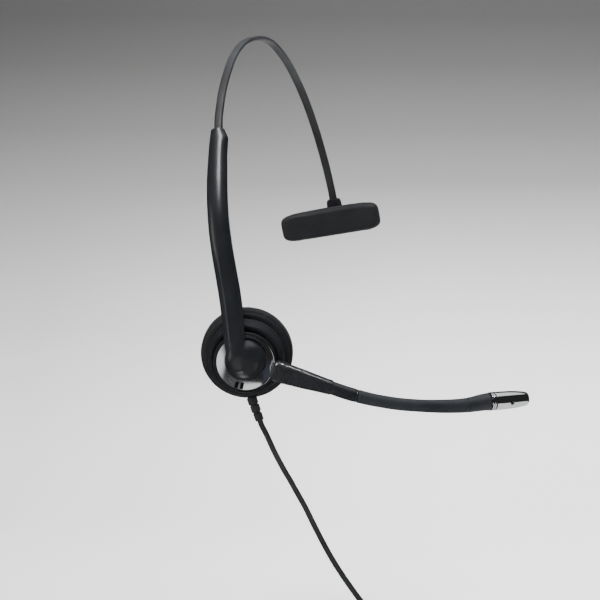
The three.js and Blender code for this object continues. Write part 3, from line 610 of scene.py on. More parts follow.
nt.links.new(mix_colour(nt, remap(nt, up_band.outputs[2], 0.0, 1.0, 0.136, 0.172), (0, 0, 0), (0, 0, 0)), b.inputs["Base Color"])
painted_shade_mix = b.inputs["Base Color"].links[0].from_node
for k, amount in ((6, 0.62), (7, 1.30)):
    tone = nt.nodes.new("ShaderNodeVectorMath")
    tone.operation = "SCALE"
    nt.links.new(plain, tone.inputs[0])
    tone.inputs["Scale"].default_value = amount
    nt.links.new(tone.outputs[0], painted_shade_mix.inputs[k])
SKIN = leatherette("cushion_leatherette", (0.0105, 0.0112, 0.0130), 0.58)
CHROME = chrome("bright_plating")
STEEL = metal("brushed_steel", (0.58, 0.59, 0.61))
GOLD = metal("contact_gold", (0.80, 0.60, 0.24), 0.22)
RUBBER = rubber("cord_jacket", (0.020, 0.0205, 0.0215), 0.55, 0.25)
SLEEVE = rubber("boom_sleeve_rubber", (0.0190, 0.0215, 0.0255), 0.46, 0.28)
CLOTH = cloth("screen_cloth", (0.02, 0.02, 0.022))
TIE = cloth("tie_cloth", (0.018, 0.018, 0.020), 0.9, (Vector((1, 0, 0)), Vector((0, 0, 1))))
BOARD = board("circuit_board")


def dress(ob, mat):
    ob.data.materials.clear()
    ob.data.materials.append(mat)
    return ob


# ------------------------------------------------------------------ camera, at the photograph's angle
cam = bpy.data.objects.new("camera", bpy.data.cameras.new("camera"))
bpy.context.scene.collection.objects.link(cam)
cam.location = (0.4402, -1.12244, 0.02824)
cam.rotation_euler = (math.radians(90), 0, math.radians(20))
cam.data.lens = 127.44
cam.data.sensor_width = 36
cam.data.clip_start = 0.01
bpy.context.scene.camera = cam

# ------------------------------------------------------------------ cord: lead, coil of six turns, tail
CORD_R = 1.6
COIL = V(95.8, -0.1, 0)
LOW, HIGH = -152.5, -149.05
relief_dir = V(0.326, 0.115, -0.938).normalized()
relief_polar = math.radians(-83.5)
relief_base = at_cup(21.7 * math.cos(relief_polar), 21.7 * math.sin(relief_polar), 17.6)
relief_end = relief_base + relief_dir * 15

lead = [relief_end + relief_dir * k for k in (-1.2, 0.8, 3.0)] + [
    V(*p) for p in [(13.5, -7.2, -46.0), (15.4, -6.25, -50.5), (17.75, -5.25, -56.1), (20.4, -4.2, -61.7), (23.3, -3.1, -67.4), (26.5, -2.1, -73.0), (29.35, -0.9, -78.6), (33.9, 1.6, -87.8), (39.3, 3.6, -99.4),
                    (44.9, 5.7, -110.9), (50.6, 7.7, -121.3), (56.8, 10.0, -131.2), (63.1, 12.3, -140.4), (67.6, 13.95, -145.9), (71.6, 15.4, -149.2), (75.4, 16.8, -151.2)]]


def on_coil(deg, r, z):
    a = math.radians(deg)
    return COIL + V(r * math.cos(a), r * math.sin(a), z)


turns = []
A0 = 110.0
total = 360 * 5 + (110 + 75)       # five whole turns and the stretch to the tail
step = 15.0
count = int(total / step)
layer_in, layer_out = 22.9, 15.9
for i in range(count + 1):
    a = total * i / count
    if a < 1080:                    # lower layer winds inwards
        k = a / 360
        whole = math.floor(k)
        r = 22.9 - 3.5 * (whole + smooth(k - whole, 0.72, 1.0)) if k < 2 else 15.9
        z = LOW + (HIGH - LOW) * smooth(a, 960, 1080)
    else:                           # upper layer winds outwards
        k = (a - 1080) / 360
        whole = math.floor(k)
        r = 15.9 + 3.5 * (whole + smooth(k - whole, 0.0, 0.28)) if k > 0 else 15.9
        r = min(15.9 + 3.5 * (max(0.0, min(2.0, whole + smooth(k - whole, 0.2, 0.5)))), 22.9)
        z = HIGH
    turns.append(on_coil(A0 - a, r, z))
tail_dir = V(-0.966, -0.2588, 0)
tail_end_polar = A0 - total
leave = on_coil(-75, 22.9, 0)
tail = [leave + tail_dir * k + V(0, 0, HIGH - 1.6 * smooth(k / 32.0)) for k in (5, 10, 15, 20, 25, 29, 33.2)]
path_pts = lead + [on_coil(128, 24.6, LOW + 0.25)][:0] + turns + tail
cord_curve = Curve(path_pts, 10)


def cord_mesh(name, curve, r, step_mm=1.3, sides=18):
    n = int(curve.length / step_mm)
    rings = []
    t0 = curve.tangent(0, 1.0)
    x = t0.orthogonal().normalized()
    for i in range(n + 1):
        d = curve.length * i / n
        t = curve.tangent(d, 1.0)
        x = (x - t * x.dot(t)).normalized()
        y = t.cross(x)
        k = 1.0
        if i == 0 or i == n:
            k = 0.93
        rings.append(ring_at(curve.at(d), x, y, circle(r * k, sides)))
    return loft(name, rings, sharp=50)


cord = cord_mesh("cord_jacket", cord_curve, CORD_R)
dress(cord, RUBBER)
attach(cord, "cup")
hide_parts("cord_lead", "cord_coil", "cord_tail")

# tie round the coil: a hook-and-loop strap, once round
tie_dir = Vector((math.cos(math.radians(-15)), math.sin(math.radians(-15)), 0))
tie_side = UP.cross(tie_dir)
tie_in, tie_out, tie_low, tie_high = 13.0, 25.3, -154.75, -146.9
loop = fillet([(tie_in, tie_low), (tie_out, tie_low), (tie_out, tie_high), (tie_in, tie_high)], [1.3, 1.6, 1.6, 1.3], True, 6)
loop = [Vector(p) for p in loop]
lc = Curve([V(p.x, 0, p.y) for p in loop + [loop[0]]], 4)


def strap(name, d0, d1, half, thick, lift):
    rings = []
    n = 90
    for i in range(n + 1):
        d = d0 + (d1 - d0) * i / n
        p, t = lc.at(d % lc.length), lc.tangent(min(max(d % lc.length, 0.3), lc.length - 0.3), 0.3)
        out = V(t.z, 0, -t.x)
        if (p - V((tie_in + tie_out) / 2, 0, (tie_low + tie_high) / 2)).dot(out) < 0:
            out = -out
        k = smooth(min(i, n - i) / 4.0)
        w = half - 0.35 * (1 - k)
        rise = lift(i / n)
        sec = fillet([(-w, 0), (w, 0), (w, thick), (-w, thick)], 0.18, True, 2)
        ring = []
        for a, b in sec:
            q = p + out * (b + rise)
            ring.append(COIL + tie_dir * q.x + tie_side * a + UP * q.z)
        rings.append(ring)
    return loft(name, rings, sharp=60)


tie = strap("tie_strap", 0, lc.length * 0.999, 3.9, 0.35, lambda k: 0.0)
dress(tie, TIE)
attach(tie, "cup")
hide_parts("cord_tie")

# ------------------------------------------------------------------ strain relief with its ribs
x_r = UP.cross(relief_dir).normalized()
y_r = relief_dir.cross(x_r)


def at_relief(x, y, s):
    return relief_base + x_r * x + y_r * y + relief_dir * s


rel = [(0, -4.1), (2.45, -4.1), (2.45, -3.25), (2.05, -3.1), (2.05, 0.8), (2.9, 0.95), (2.86, 5.05), (2.28, 5.2), (2.28, 5.8),
       (2.76, 5.95), (2.66, 9.65), (2.08, 9.8), (2.08, 10.4), (2.52, 10.55), (2.42, 14.6), (2.05, 15.0), (0, 15.0)]
relief = lathe("strain_relief", fillet(rel, [0, .2, .2, .3, .3, .25, .2, .12, .12, .2, .2, .12, .12, .2, .35, .3, 0], False, 4), at_relief, 56, sharp=60)
dress(relief, RUBBER)
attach(relief, "cup")
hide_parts("cord_relief")

# ------------------------------------------------------------------ quick connector, finer shell and relief
conn_side = V(-tail_dir.y, tail_dir.x, 0)
conn_o = leave + tail_dir * 32.3 + V(0, 0, -150.65)


def at_conn(x, y, s):
    return conn_o + conn_side * x + UP * y + tail_dir * s


crel = [(0, 0), (2.15, 0), (2.35, 0.4), (2.35, 1.5), (1.95, 1.8), (1.98, 2.5), (2.55, 2.8), (2.62, 4.3), (2.15, 4.6), (2.2, 5.3), (2.82, 5.6), (2.92, 7.9), (0, 7.9)]
conn_rel = lathe("plug_relief", fillet(crel, [0, .2, .2, .3, .2, .2, .3, .3, .2, .2, .3, .1, 0], False, 4), at_conn, 48, sharp=60)
dress(conn_rel, RUBBER)
shell_rows = [(8.3, 4.0, 2.8), (8.45, 4.45, 3.2), (9.2, 5.05, 3.7), (11, 5.6, 3.95), (14, 6.15, 4.1), (17, 6.0, 4.0), (20, 5.95, 3.95), (22, 6.15, 4.1), (24, 6.4, 4.2), (29, 6.55, 4.28), (34, 6.6, 4.3),
              (37.2, 6.6, 4.3), (37.75, 6.45, 4.15), (38.0, 6.1, 3.8)]
rings = [ring_at(conn_o + tail_dir * s, conn_side, UP, superellipse(x, x, y, y, 0.55, 0.55, 64)) for s, x, y in shell_rows]
inner_rows = [(38.0, 5.25, 2.75), (37.8, 5.1, 2.6), (27.2, 5.1, 2.6)]
rings += [ring_at(conn_o + tail_dir * s, conn_side, UP, superellipse(x, x, y, y, 0.2, 0.2, 64)) for s, x, y in inner_rows]
conn_shell = loft("plug_shell", rings, sharp=40)
dress(conn_shell, SATIN)
grips = []
for i in range(5):
    s = 11.4 + 1.7 * i
    hx = 5.75 + 0.12 * i
    ring_pts = superellipse(6.0, 6.0, 4.1, 4.1, 0.55, 0.55, 64)
    for sgn in (-1, 1):
        rows = []
        for k in range(9):
            th = math.pi * k / 8
            rows.append((s - 0.42 * math.cos(th), 0.28 * math.sin(th)))
        g = []
        for ss, hh in rows:
            y0 = 3.86 + hh * 1.0 if hh > 0 else 3.7
            g.append([at_conn(x, sgn * (y0 - 0.05 * (x / 3.0) ** 2 - (0.0 if abs(x) < 3.0 else 0.4)), ss) for x in (-3.2, -3.0, -2.0, -1, 0, 1, 2.0, 3.0, 3.2)] +
                     [at_conn(x, sgn * 3.3, ss) for x in (3.2, 1.0, -1.0, -3.2)])
        grips.append(loft(f"plug_grip_{'a' if sgn > 0 else 'b'}{i + 1}", g, sharp=50))
for ob in [conn_rel, conn_shell] + grips:
    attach(ob, "cup")
for g in grips:
    dress(g, SATIN)
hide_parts("connector_relief")
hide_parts("connector_shell")

# ------------------------------------------------------------------ ear cup
housing = lathe("cup_shell", fillet(
    [(19.9, 13.3), (21.7, 13.3), (21.95, 15.2), (21.55, 17.8), (20.75, 22.0), (20.2, 22.6), (18.7, 22.6), (18.3, 22.2), (3.2, 22.2), (3.2, 20.6), (18.2, 20.6), (19.6, 18.6)],
    [0.15, 0.35, 2.0, 3.0, 0.35, 0.3, 0.2, 0.2, 0.1, 0.1, 0.5, 0.5], True, 6), at_cup, 192, sharp=50)
hole = lathe("relief_hole", [(0, -6), (2.45, -6), (2.45, 6), (0, 6)], at_relief, 40)
boolean(housing, [hole])
shade(housing, 40)
dress(housing, HOUSE)
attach(housing, "cup")
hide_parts("cup_housing")

# hub plate: a crowned mirror face in a thin raised rim, two slots near the lower edge
hub = lathe("hub_disc", fillet(
    [(3.2, 24.2), (17.1, 24.2), (17.5, 24.6), (17.5, 26.05), (17.25, 26.4), (16.9, 26.4), (16.55, 25.75)], [0.1, 0.2, 0.2, 0.3, 0.15, 0.12, 0.1], False, 5)
    + [(r, 26.22 - 0.55 * (r / 16.4) ** 2) for r in span(16.3, 3.2, 24)], at_cup, 224, sharp=40)
holes = []
for x, y in ((-4.8, -12.8), (-1.9, -13.4)):
    sec = fillet([(-0.95, -1.9), (0.95, -1.9), (0.95, 1.9), (-0.95, 1.9)], 0.3, True, 4)
    a = math.radians(-14)
    pts = [(x + p * math.cos(a) - q * math.sin(a), y + p * math.sin(a) + q * math.cos(a)) for p, q in sec]
    holes.append(loft("slot_tool", [[at_cup(p, q, s) for p, q in pts] for s in (23.0, 28.0)]))
BA, BOOM_OFF = math.radians(-19), 2.5
BD, BS = (math.cos(BA), math.sin(BA)), (-math.sin(BA), math.cos(BA))


def on_root(r, k):
    return r * BD[0] + (BOOM_OFF + k) * BS[0], r * BD[1] + (BOOM_OFF + k) * BS[1]


for r, k in ((15.6, 0.7), (15.9, -3.4)):
    cx, cy = on_root(r, k)
    holes.append(lathe("screw_tool", [(0, 23.0), (1.05, 23.0), (1.05, 28.0), (0, 28.0)], lambda x, y, s, cx=cx, cy=cy: at_cup(x + cx, y + cy, s), 24))
boolean(hub, holes)
shade(hub, 35)
dress(hub, CHROME)
hub.data.materials.append(SATIN)
for poly in hub.data.polygons:
    q = poly.center / MM
    if math.hypot(q.dot(E1), q.dot(E2)) > 16.42 or poly.normal.dot(N) < -0.5:
        poly.material_index = 1
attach(hub, "boom")
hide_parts("hub_plate")


# ------------------------------------------------------------------ soft parts by cloth simulation
def inflate(ob, pins, pressure, frames, cap, scale=10.0, tension=18.0, bending=0.15, shrink=0.0, seed_bulge=0.0):
    """Cloth with air in it, made at ten times its size, and its result applied. No point moves further than cap (mm)."""
    me = ob.data
    rest = [v.co.copy() for v in me.vertices]
    c = sum(rest, Vector((0, 0, 0))) / len(rest)
    for v in me.vertices:
        v.co = (v.co - c) * scale
    g = ob.vertex_groups.new(name="pin")
    for i, w in pins.items():
        g.add([i], w, "REPLACE")
    cl = ob.modifiers.new("cloth", "CLOTH")
    s = cl.settings
    s.quality = 6
    s.mass = 0.3
    s.tension_stiffness = tension
    s.compression_stiffness = tension * 0.7
    s.shear_stiffness = tension * 0.4
    s.bending_stiffness = bending
    s.use_pressure = True
    s.uniform_pressure_force = pressure
    s.shrink_min = shrink
    s.vertex_group_mass = "pin"
    s.pin_stiffness = 1.0
    s.effector_weights.gravity = 0
    s.air_damping = 2.0
    cl.collision_settings.use_self_collision = False
    cl.collision_settings.use_collision = False
    cl.point_cache.frame_start = 1
    cl.point_cache.frame_end = frames
    sc = bpy.context.scene
    for f in range(1, frames + 1):
        sc.frame_set(f)
    dg = bpy.context.evaluated_depsgraph_get()
    got = ob.evaluated_get(dg).data
    new = [v.co.copy() for v in got.vertices]
    ob.modifiers.clear()
    sc.frame_set(1)
    for v, p, r in zip(me.vertices, new, rest):
        q = p / scale + c
        d = q - r
        if d.length > cap * MM:
            d *= cap * MM / d.length
        v.co = r + d
    ob.vertex_groups.clear()
    me.update()
    return ob


def subdivided(ob, levels=1):
    m = ob.modifiers.new("sub", "SUBSURF")
    m.levels = levels
    m.render_levels = levels
    apply_all(ob)
    return shade(ob)


# ear cushion: a stuffed ring with a welded seam round its outer edge and a folded lip at the back
SEG = 168
cush_profile = [
    (14.6, 0.55), (16.2, 0.22), (18.4, 0.15), (20.6, 0.25), (22.6, 0.55), (24.4, 1.35), (25.4, 2.6), (25.8, 4.2), (25.85, 6.0), (25.6, 7.6), (25.1, 8.8),
    (24.75, 9.45), (24.6, 9.9), (23.6, 10.55), (22.4, 10.95), (21.0, 11.1), (19.0, 11.15), (17.2, 11.1), (15.6, 10.95), (14.2, 10.3), (13.2, 9.1), (12.65, 7.4), (12.45, 5.4), (12.6, 3.4), (13.2, 1.7), (13.8, 1.0)]
v_, f_ = lathe_mesh(cush_profile, at_cup, SEG)
cushion = make("ear_pad", v_, f_)


def cup_coords(p):
    q = p / MM
    return q.dot(E1), q.dot(E2), q.dot(N)


pins = {}
for v in cushion.data.vertices:
    x, y, s = cup_coords(v.co)
    r = math.hypot(x, y)
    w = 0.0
    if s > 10.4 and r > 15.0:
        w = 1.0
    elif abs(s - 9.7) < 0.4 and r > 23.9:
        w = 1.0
    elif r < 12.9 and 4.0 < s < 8.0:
        w = 0.0
    if w:
        pins[v.index] = w
inflate(cushion, pins, 3.2, 20, 0.9, shrink=-0.03)
subdivided(cushion, 1)
for v in cushion.data.vertices:
    x, y, s = cup_coords(v.co)
    r, a = math.hypot(x, y), math.atan2(y, x)
    # seam channel and the small gathers that run out of it
    seam = math.exp(-((s - 9.72) / 0.26) ** 2) * smooth(r, 22.8, 24.0)
    gather = math.exp(-((s - 8.9) / 1.3) ** 2) * smooth(r, 23.0, 24.6)
    inner = math.exp(-((s - 1.2) / 1.2) ** 2) * smooth(-r, -15.5, -13.4)
    n1 = math.sin(37 * a + 1.3 * math.sin(5 * a)) * 0.6 + math.sin(61 * a + 2.1 * math.sin(3 * a + 1)) * 0.4
    r2 = r - 0.42 * seam + 0.06 * gather * n1 - 0.08 * inner * math.sin(29 * a + 1.7 * math.sin(4 * a))
    s2 = s + 0.05 * math.sin(3 * a + 0.7) * smooth(r, 16, 20) * smooth(-s, -11.0, -9.0)
    r2 = min(max(r2, 12.2), 26.0)
    s2 = min(max(s2, 0.02), 11.2)
    v.co = at_cup(r2 * math.cos(a), r2 * math.sin(a), s2) * MM
cushion.data.update()
shade(cushion)
dress(cushion, SKIN)
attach(cushion, "cup")
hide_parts("ear_cushion")

# screen over the speaker: a slightly domed woven disc in its ring
screen = lathe("speaker_cloth", fillet([(0, 9.75), (4, 9.78), (8, 9.85), (10.9, 10.0), (11.7, 10.15), (11.8, 10.5), (11.7, 11.0), (0, 11.1)], [0, 0, 0, .3, .3, .3, .2, 0], False, 4), at_cup, 96, sharp=50)
dress(screen, CLOTH)
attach(screen, "cup")
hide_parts("speaker_screen")

# ------------------------------------------------------------------ boom
ROOT_R0, ROOT_R1 = 14.9, 50.0
root_table = [(14.9, 5.65, 3.42, 30.2), (18, 5.7, 3.45, 30.15), (21, 5.6, 3.45, 30.05), (28, 5.15, 3.4, 29.4), (34, 4.85, 3.4, 28.95), (40, 4.3, 3.4, 28.5), (46, 3.85, 3.45, 27.95),
              (50, 3.64, 3.5, 27.6)]


def root_section(w, t, k, fade):
    """Across the boom and outwards: the long chamfer runs along its upper outer edge."""
    c = (1.35 - 0.65 * smooth(k, 0.1, 1.0)) * fade
    pts = [(w, -t), (w, t - c * 0.9), (w - c, t), (-w, t - 0.25 * fade), (-w, -t)]
    return fillet(pts, [1.1 * fade, 0.42 * fade, 0.5 * fade, 1.5 * fade, 1.1 * fade], True, 6)


root_rings = []
rs = [(ROOT_R0 + 2.8 * (1 - math.cos(math.radians(a))), math.sin(math.radians(a)) ** 0.72) for a in (6, 12, 20, 28, 36, 45, 54, 63, 72, 81, 90)]
rs += [(r, 1.0) for r in span(18.3, 49.4, 49)] + [(49.85, 0.985), (49.98, 0.95), (50.2, 0.93)]
for r, k in rs:
    w, t, z = soft_table(root_table, r, 2.0)
    flat = min(1.0, k)
    tt = t * (0.72 + 0.28 * flat ** 0.5) if r < 25 else t * (1.0 if k > 0.99 else k)
    ww = w * k
    o = at_cup(*on_root(r, 0), z)
    sec = root_section(max(ww, 0.4), tt, (r - 14) / 36, max(0.25, min(1, k)))
    root_rings.append(ring_at(o, at_cup(BS[0], BS[1], 0), N, sec))
root = loft("boom_arm_root", root_rings, sharp=28)
tools = []
for r, k in ((15.6, 0.7), (15.9, -3.4)):
    cx, cy = on_root(r, k)
    tools.append(lathe("blind_tool", [(0, 25.0), (1.05, 25.0), (1.05, 28.8), (0, 28.8)], lambda x, y, s, cx=cx, cy=cy: at_cup(x + cx, y + cy, s), 24))
boolean(root, tools)
shade(root, 24)
dress(root, ROOT)
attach(root, "boom")
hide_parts("boom_root")

boom_pts = [(52.862, -7.069, -20.584), (61.46, -3.28, -23.72), (70.01, 0.89, -26.33), (78.35, 5.26, -28.3), (86.7, 9.9, -29.79), (95.3, 15, -30.7), (103.7, 20.4, -31.19),
            (112, 26, -31.3), (120.1, 31.8, -30.86), (128, 37.9, -29.4), (135.7, 44.3, -28.5), (143.2, 50.9, -28.03), (150.3, 57.3, -27.55)]
boom = Curve(boom_pts)
collar = stepped_tube("boom_collar_ring", boom, [(0.0, 3.0), (0.02, 3.46), (0.14, 3.62), (0.4, 3.7)] + [(d, 3.74 + 0.02 * smooth(d, 0, 13)) for d in span(1.0, 13.0, 26)]
                      + [(13.3, 3.75), (13.42, 3.68), (13.55, 3.6), (14.1, 3.58), (14.25, 3.62), (14.4, 3.7), (14.75, 3.72), (14.88, 3.62), (14.95, 3.0), (15.6, 2.9)])
dress(collar, ROOT)
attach(collar, "boom")
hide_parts("boom_collar")

sleeve_r = [(15.3, 3.72), (22, 3.6), (29, 3.53), (53, 3.54), (63, 3.76), (70, 3.9), (79.5, 4.17), (88, 4.74), (92.6, 5.02)]
sleeve = stepped_tube("boom_flex_sleeve", boom, [(15.28, 2.9), (15.3, 3.3), (15.4, 3.58), (15.6, 3.68)] + [(d, soft_table(sleeve_r, d, 3.0)[0]) for d in span(16.0, 78.7, 160)]
                      + [(79.0, 4.1), (79.15, 3.98), (79.22, 3.6), (79.24, 3.0)])
dress(sleeve, SLEEVE)
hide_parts("sleeve_rear", "sleeve_front")
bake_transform(sleeve)

neck = stepped_tube("mic_neck_cone", boom, [(78.9, 3.2), (79.34, 3.3), (79.36, 3.86), (79.5, 4.08)] + [(d, soft_table(sleeve_r, d, 2.0)[0] + 0.02) for d in span(79.9, 91.9, 44)]
                    + [(92.08, 4.98), (92.17, 4.85), (92.19, 4.3), (92.5, 4.2)])
dress(neck, NECK)
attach(neck, "boom_tip")
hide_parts("mic_neck")

MO = boom.at(92.6)
MT = (boom.at(116.8) - MO).normalized()
ML = (boom.at(116.8) - MO).length
MX = UP.cross(MT).normalized()
MY = MT.cross(MX)


def at_mic(x, y, s):
    return MO + MX * x + MY * y + MT * s


ring = lathe("mic_ring_bright", fillet([(3.9, 0), (4.95, 0), (5.22, 0.3), (5.22, 1.0), (4.9, 1.25), (5.22, 1.5), (5.22, 2.2), (4.98, 2.5), (3.9, 2.5)],
                                       [0.1, 0.15, 0.15, 0.12, 0.1, 0.12, 0.15, 0.15, 0.1], True, 4), at_mic, 128, sharp=40)
dress(ring, CHROME)
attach(ring, "boom_tip")
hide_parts("mic_ring")

outer = Curve([V(5.22, 0, 3.25), V(5.22, 0, 5.5), V(5.19, 0, 8), V(5.05, 0, 12.5), V(4.77, 0, 16.5), V(4.39, 0, 20), V(4.05, 0, 22.2), V(3.84, 0, ML - 1.3), V(3.5, 0, ML - 0.6), V(3.0, 0, ML - 0.26),
               V(2.3, 0, ML - 0.09), V(1.2, 0, ML - 0.01), V(0, 0, ML)], 6)
prof = [(3.95, 2.85), (4.95, 2.85), (5.12, 2.95)] + [(p.x, p.z) for p in outer.p[:-1]] + [(0.0, ML)]
inner_p = [(0.0, ML - 1.2), (1.0, ML - 1.5), (1.9, ML - 2.5), (2.6, 20.5), (3.2, 17.5), (3.7, 13.5), (3.9, 8)]
# the outside and the bore are one closed wall: both ends on the axis are joined by the wall itself
vo_, fo_ = lathe_mesh(prof, at_mic, 128)
vi_, fi_ = lathe_mesh(inner_p, at_mic, 128)
off = len(vo_)
verts = vo_ + vi_
faces = list(fo_) + [tuple(i + off for i in reversed(f)) for f in fi_]
last = len(vi_) - 128
for j in range(128):
    k = (j + 1) % 128
    faces.append((off + last + j, off + last + k, k, j))
mic = make("mic_tip_bright", verts, faces, 40)


def aimed(name, origin, direction, profile, seg=28):
    t = Vector(direction).normalized()
    x = t.orthogonal().normalized()
    y = t.cross(x)
    return lathe(name, profile, lambda a, b, s: origin + x * a + y * b + t * s, seg)


boolean(mic, [aimed("port_tool", at_mic(0, 0, 12.4), -MX * 0.951 - MY * 0.309, [(0, 0), (0.66, 0), (0.66, 4.5), (0.74, 4.6), (1.2, 4.88), (1.3, 5.1), (1.3, 7), (0, 7)]),
              aimed("mouth_tool", at_mic(0, 0, 16), MX, [(0, 0), (1.1, 0), (1.1, 7), (0, 7)])])
shade(mic, 40)
dress(mic, CHROME)
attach(mic, "boom_tip")
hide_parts("mic_shell")

# ------------------------------------------------------------------ arm with the knob, over the ball joint
arm_pts = [(-35.3, -15), (-35.2, -9), (-34.7, 0), (-33.8, 10), (-33.5, 25), (-34.3, 42), (-34.5, 56), (-33.84, 66.8), (-31.86, 77.5), (-28.67, 87.9), (-24.07, 100), (-20.53, 109.3), (-16.99, 118.6), (-15.2, 123.3)]
arm_curve = Curve([in_plane(u, w) for u, w in arm_pts])
arm_table = [(-15, 4.0, 4.0, 0.2), (-9, 5.1, 5.0, 1.3), (-4, 5.6, 5.7, 2.5), (1, 5.8, 6.2, 3.3), (14, 5.75, 6.9, 3.7), (27, 5.8, 7.2, 3.8), (38, 5.9, 6.9, 3.8), (50, 6.15, 6.3, 3.8), (70, 6.2, 5.8, 3.8), (96, 6.3, 5.3, 3.6),
             (106, 5.8, 5.0, 3.4), (111.6, 5.45, 5.25, 3.3), (116.2, 5.05, 5.8, 3.15), (121.4, 4.4, 3.45, 2.9), (123.3, 4.2, 3.4, 2.8)]
INNER = 1.9


def arm_section(b, f, o, crease, n_side=3):
    """Half-round outer face, flat inner face; crease (0..1) turns the back third into a flank with a fine ridge."""
    out = []
    m = 44
    for i in range(m + 1):
        t = math.pi * i / m
        c, s = math.cos(t), math.sin(t)
        x = math.copysign(abs(c) ** 0.88, c)
        y = abs(s) ** 0.88
        px = (f if x > 0 else b) * x
        py = o * y
        if crease > 0 and px < -0.28 * b:
            # straight flank from the ridge down to the back edge
            k = (-px / b - 0.28) / 0.72
            flank = o * 0.965 * (1 - k) ** 0.78 + 0.0
            py = py * (1 - crease) + min(py, flank * 1.0) * crease
        out.append((px, py))
    low = [(-b, -0.5), (-b, -1.0), (-b + 0.12, -1.45), (-b + 0.45, -1.8), (-b + 0.95, -1.9)]
    flat = [(-b + 0.95 + (b + f - 1.9) * k / 9, -1.9) for k in range(1, 9)]
    low2 = [(f - 0.95, -1.9), (f - 0.45, -1.8), (f - 0.12, -1.45), (f, -1.0), (f, -0.5)]
    return out + low + flat + low2


arm_rings = []
na = 210
for i in range(na + 1):
    d = arm_curve.length * i / na
    p, t = arm_curve.at(d), arm_curve.tangent(d, 2.0)
    o = F.cross(t).normalized()
    w = height_of(p)
    b, f, h = soft_table(arm_table, w, 0.5 if w > 110 else 4.0)
    cr = 1 - smooth(w, 30, 62)
    arm_rings.append(ring_at(p, F, o, arm_section(b, f, h, cr)))
arm = loft("arm_body", arm_rings)
slide_dir = dir_plane(0.3557, 0.9346)
mouth = in_plane(-15.2, 123.3)
slide_out = F.cross(slide_dir)
KNOB_C = (0.6, 2.9)
knob_prof = [(0, 29.6), (11.35, 29.6)] + [(11.58, 29.85), (11.72, 30.6), (11.7, 31.6), (11.45, 32.8), (10.95, 34.0), (10.15, 35.15), (9.0, 36.2), (7.5, 37.05), (5.6, 37.65), (3.4, 38.02), (1.6, 38.15), (0, 38.2)]
knob = lathe("knob", knob_prof, lambda x, y, s: at_cup(x + KNOB_C[0], y + KNOB_C[1], s), 96)
under = lathe("under_tool", [(0, 18), (21.5, 18), (21.5, 26.8), (19.2, 28.9), (17, 29.6), (0, 29.6)], at_cup, 64)
boolean(arm, [under])
boolean(arm, [knob], "UNION")


def remeshed(ob, voxel, passes=6, factor=0.5):
    m = ob.modifiers.new("re", "REMESH")
    m.mode = "VOXEL"
    m.voxel_size = voxel * MM
    m.adaptivity = 0.0
    apply_all(ob)
    bm = bmesh.new()
    bm.from_mesh(ob.data)
    for _ in range(passes):
        bmesh.ops.smooth_vert(bm, verts=bm.verts, factor=factor, use_axis_x=True, use_axis_y=True, use_axis_z=True)
    bm.to_mesh(ob.data)
    bm.free()
    return shade(ob)


remeshed(arm, 0.36, 4, 0.5)
# the arm flows into the knob: smooth only where the two meet
bm = bmesh.new()
bm.from_mesh(arm.data)
soft = []
for v in bm.verts:
    x, y, z = cup_coords(v.co)
    if z > 31.6 and -3.5 < y < 15 and x < 5:
        soft.append(v)
for _ in range(46):
    bmesh.ops.smooth_vert(bm, verts=soft, factor=0.5, use_axis_x=True, use_axis_y=True, use_axis_z=True)
bm.to_mesh(arm.data)
bm.free()
band_hole = superellipse(2.75, 2.75, 1.62, 1.62, 0.6, 0.6, 40)
mouth_tool = loft("mouth_cut", [ring_at(mouth + slide_dir * k, F, slide_out, band_hole) for k in (-7.0, 3.0)])
ball_space = lathe("ball_tool", [(0, 27), (5.3, 27), (5.35, 29)] + [(5.4 * math.sin(math.radians(a)), 31 + 5.4 * math.cos(math.radians(a))) for a in span(105, 8, 14)] + [(0, 36.4)], at_cup, 56)
top_rings = [[mouth + slide_dir * k + F * a + slide_out * c for a, c in ((-14, -12), (14, -12), (14, 12), (-14, 12))] for k in (-1.9, 9.0)]
boolean(arm, [mouth_tool, ball_space, loft("top_cut", top_rings)])
shade(arm, 35)
dress(arm, SATIN)
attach(arm, "arm")
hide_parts("arm_shell")

cover = copy_of("arm_cover", "arm_inner_cover", 0.25, 2, 30)
dress(cover, MATTE)
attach(cover, "arm")
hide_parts("arm_cover")

# ------------------------------------------------------------------ headband
far_pts = [(-12.45, 129.9), (-9.35, 134.7), (-6.1, 139.6), (-2.35, 144.6), (1.8, 149.2), (6.6, 154.2), (21.5, 167), (40.8, 177.4), (62, 183), (80, 184.6), (95, 182.6), (116.9, 172.8), (138, 154.5), (152, 134.8), (162.2, 113.8), (167.6, 97), (170, 84.2)]
on_slide = lambda k: in_plane(-15.2 + 0.3557 * k, 123.3 + 0.9346 * k)
SLIDE_TAIL = 33.5
band_curve = Curve([on_slide(-SLIDE_TAIL), on_slide(-24), on_slide(-12), on_slide(0), on_slide(4)] + [in_plane(u, w) for u, w in far_pts])
band_rings = []
d0, d1 = SLIDE_TAIL - 24, band_curve.length - 0.1
nb = 300
for i in range(nb + 1):
    d = d0 + (d1 - d0) * i / nb
    p, t = band_curve.at(d), band_curve.tangent(d, 2.5)
    band_rings.append(ring_at(p, F, F.cross(t).normalized(), superellipse(2.4, 2.4, 1.3, 1.3, 0.62, 0.62, 48)))
band = loft("band_sleeve_tube", band_rings, sharp=50)
dress(band, BAND)
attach(band, "band")
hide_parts("band_sleeve")

# ------------------------------------------------------------------ far side: holder, bar and pad
band_end = band_curve.at(band_curve.length)
end_t = band_curve.tangent(band_curve.length, 1.0)
HZ = -end_t
HY = F.cross(end_t).normalized()
HX = HY.cross(HZ)
PIN_Z = -6.5


def at_end(x, y, z):
    return band_end + HX * x + HY * y + HZ * z


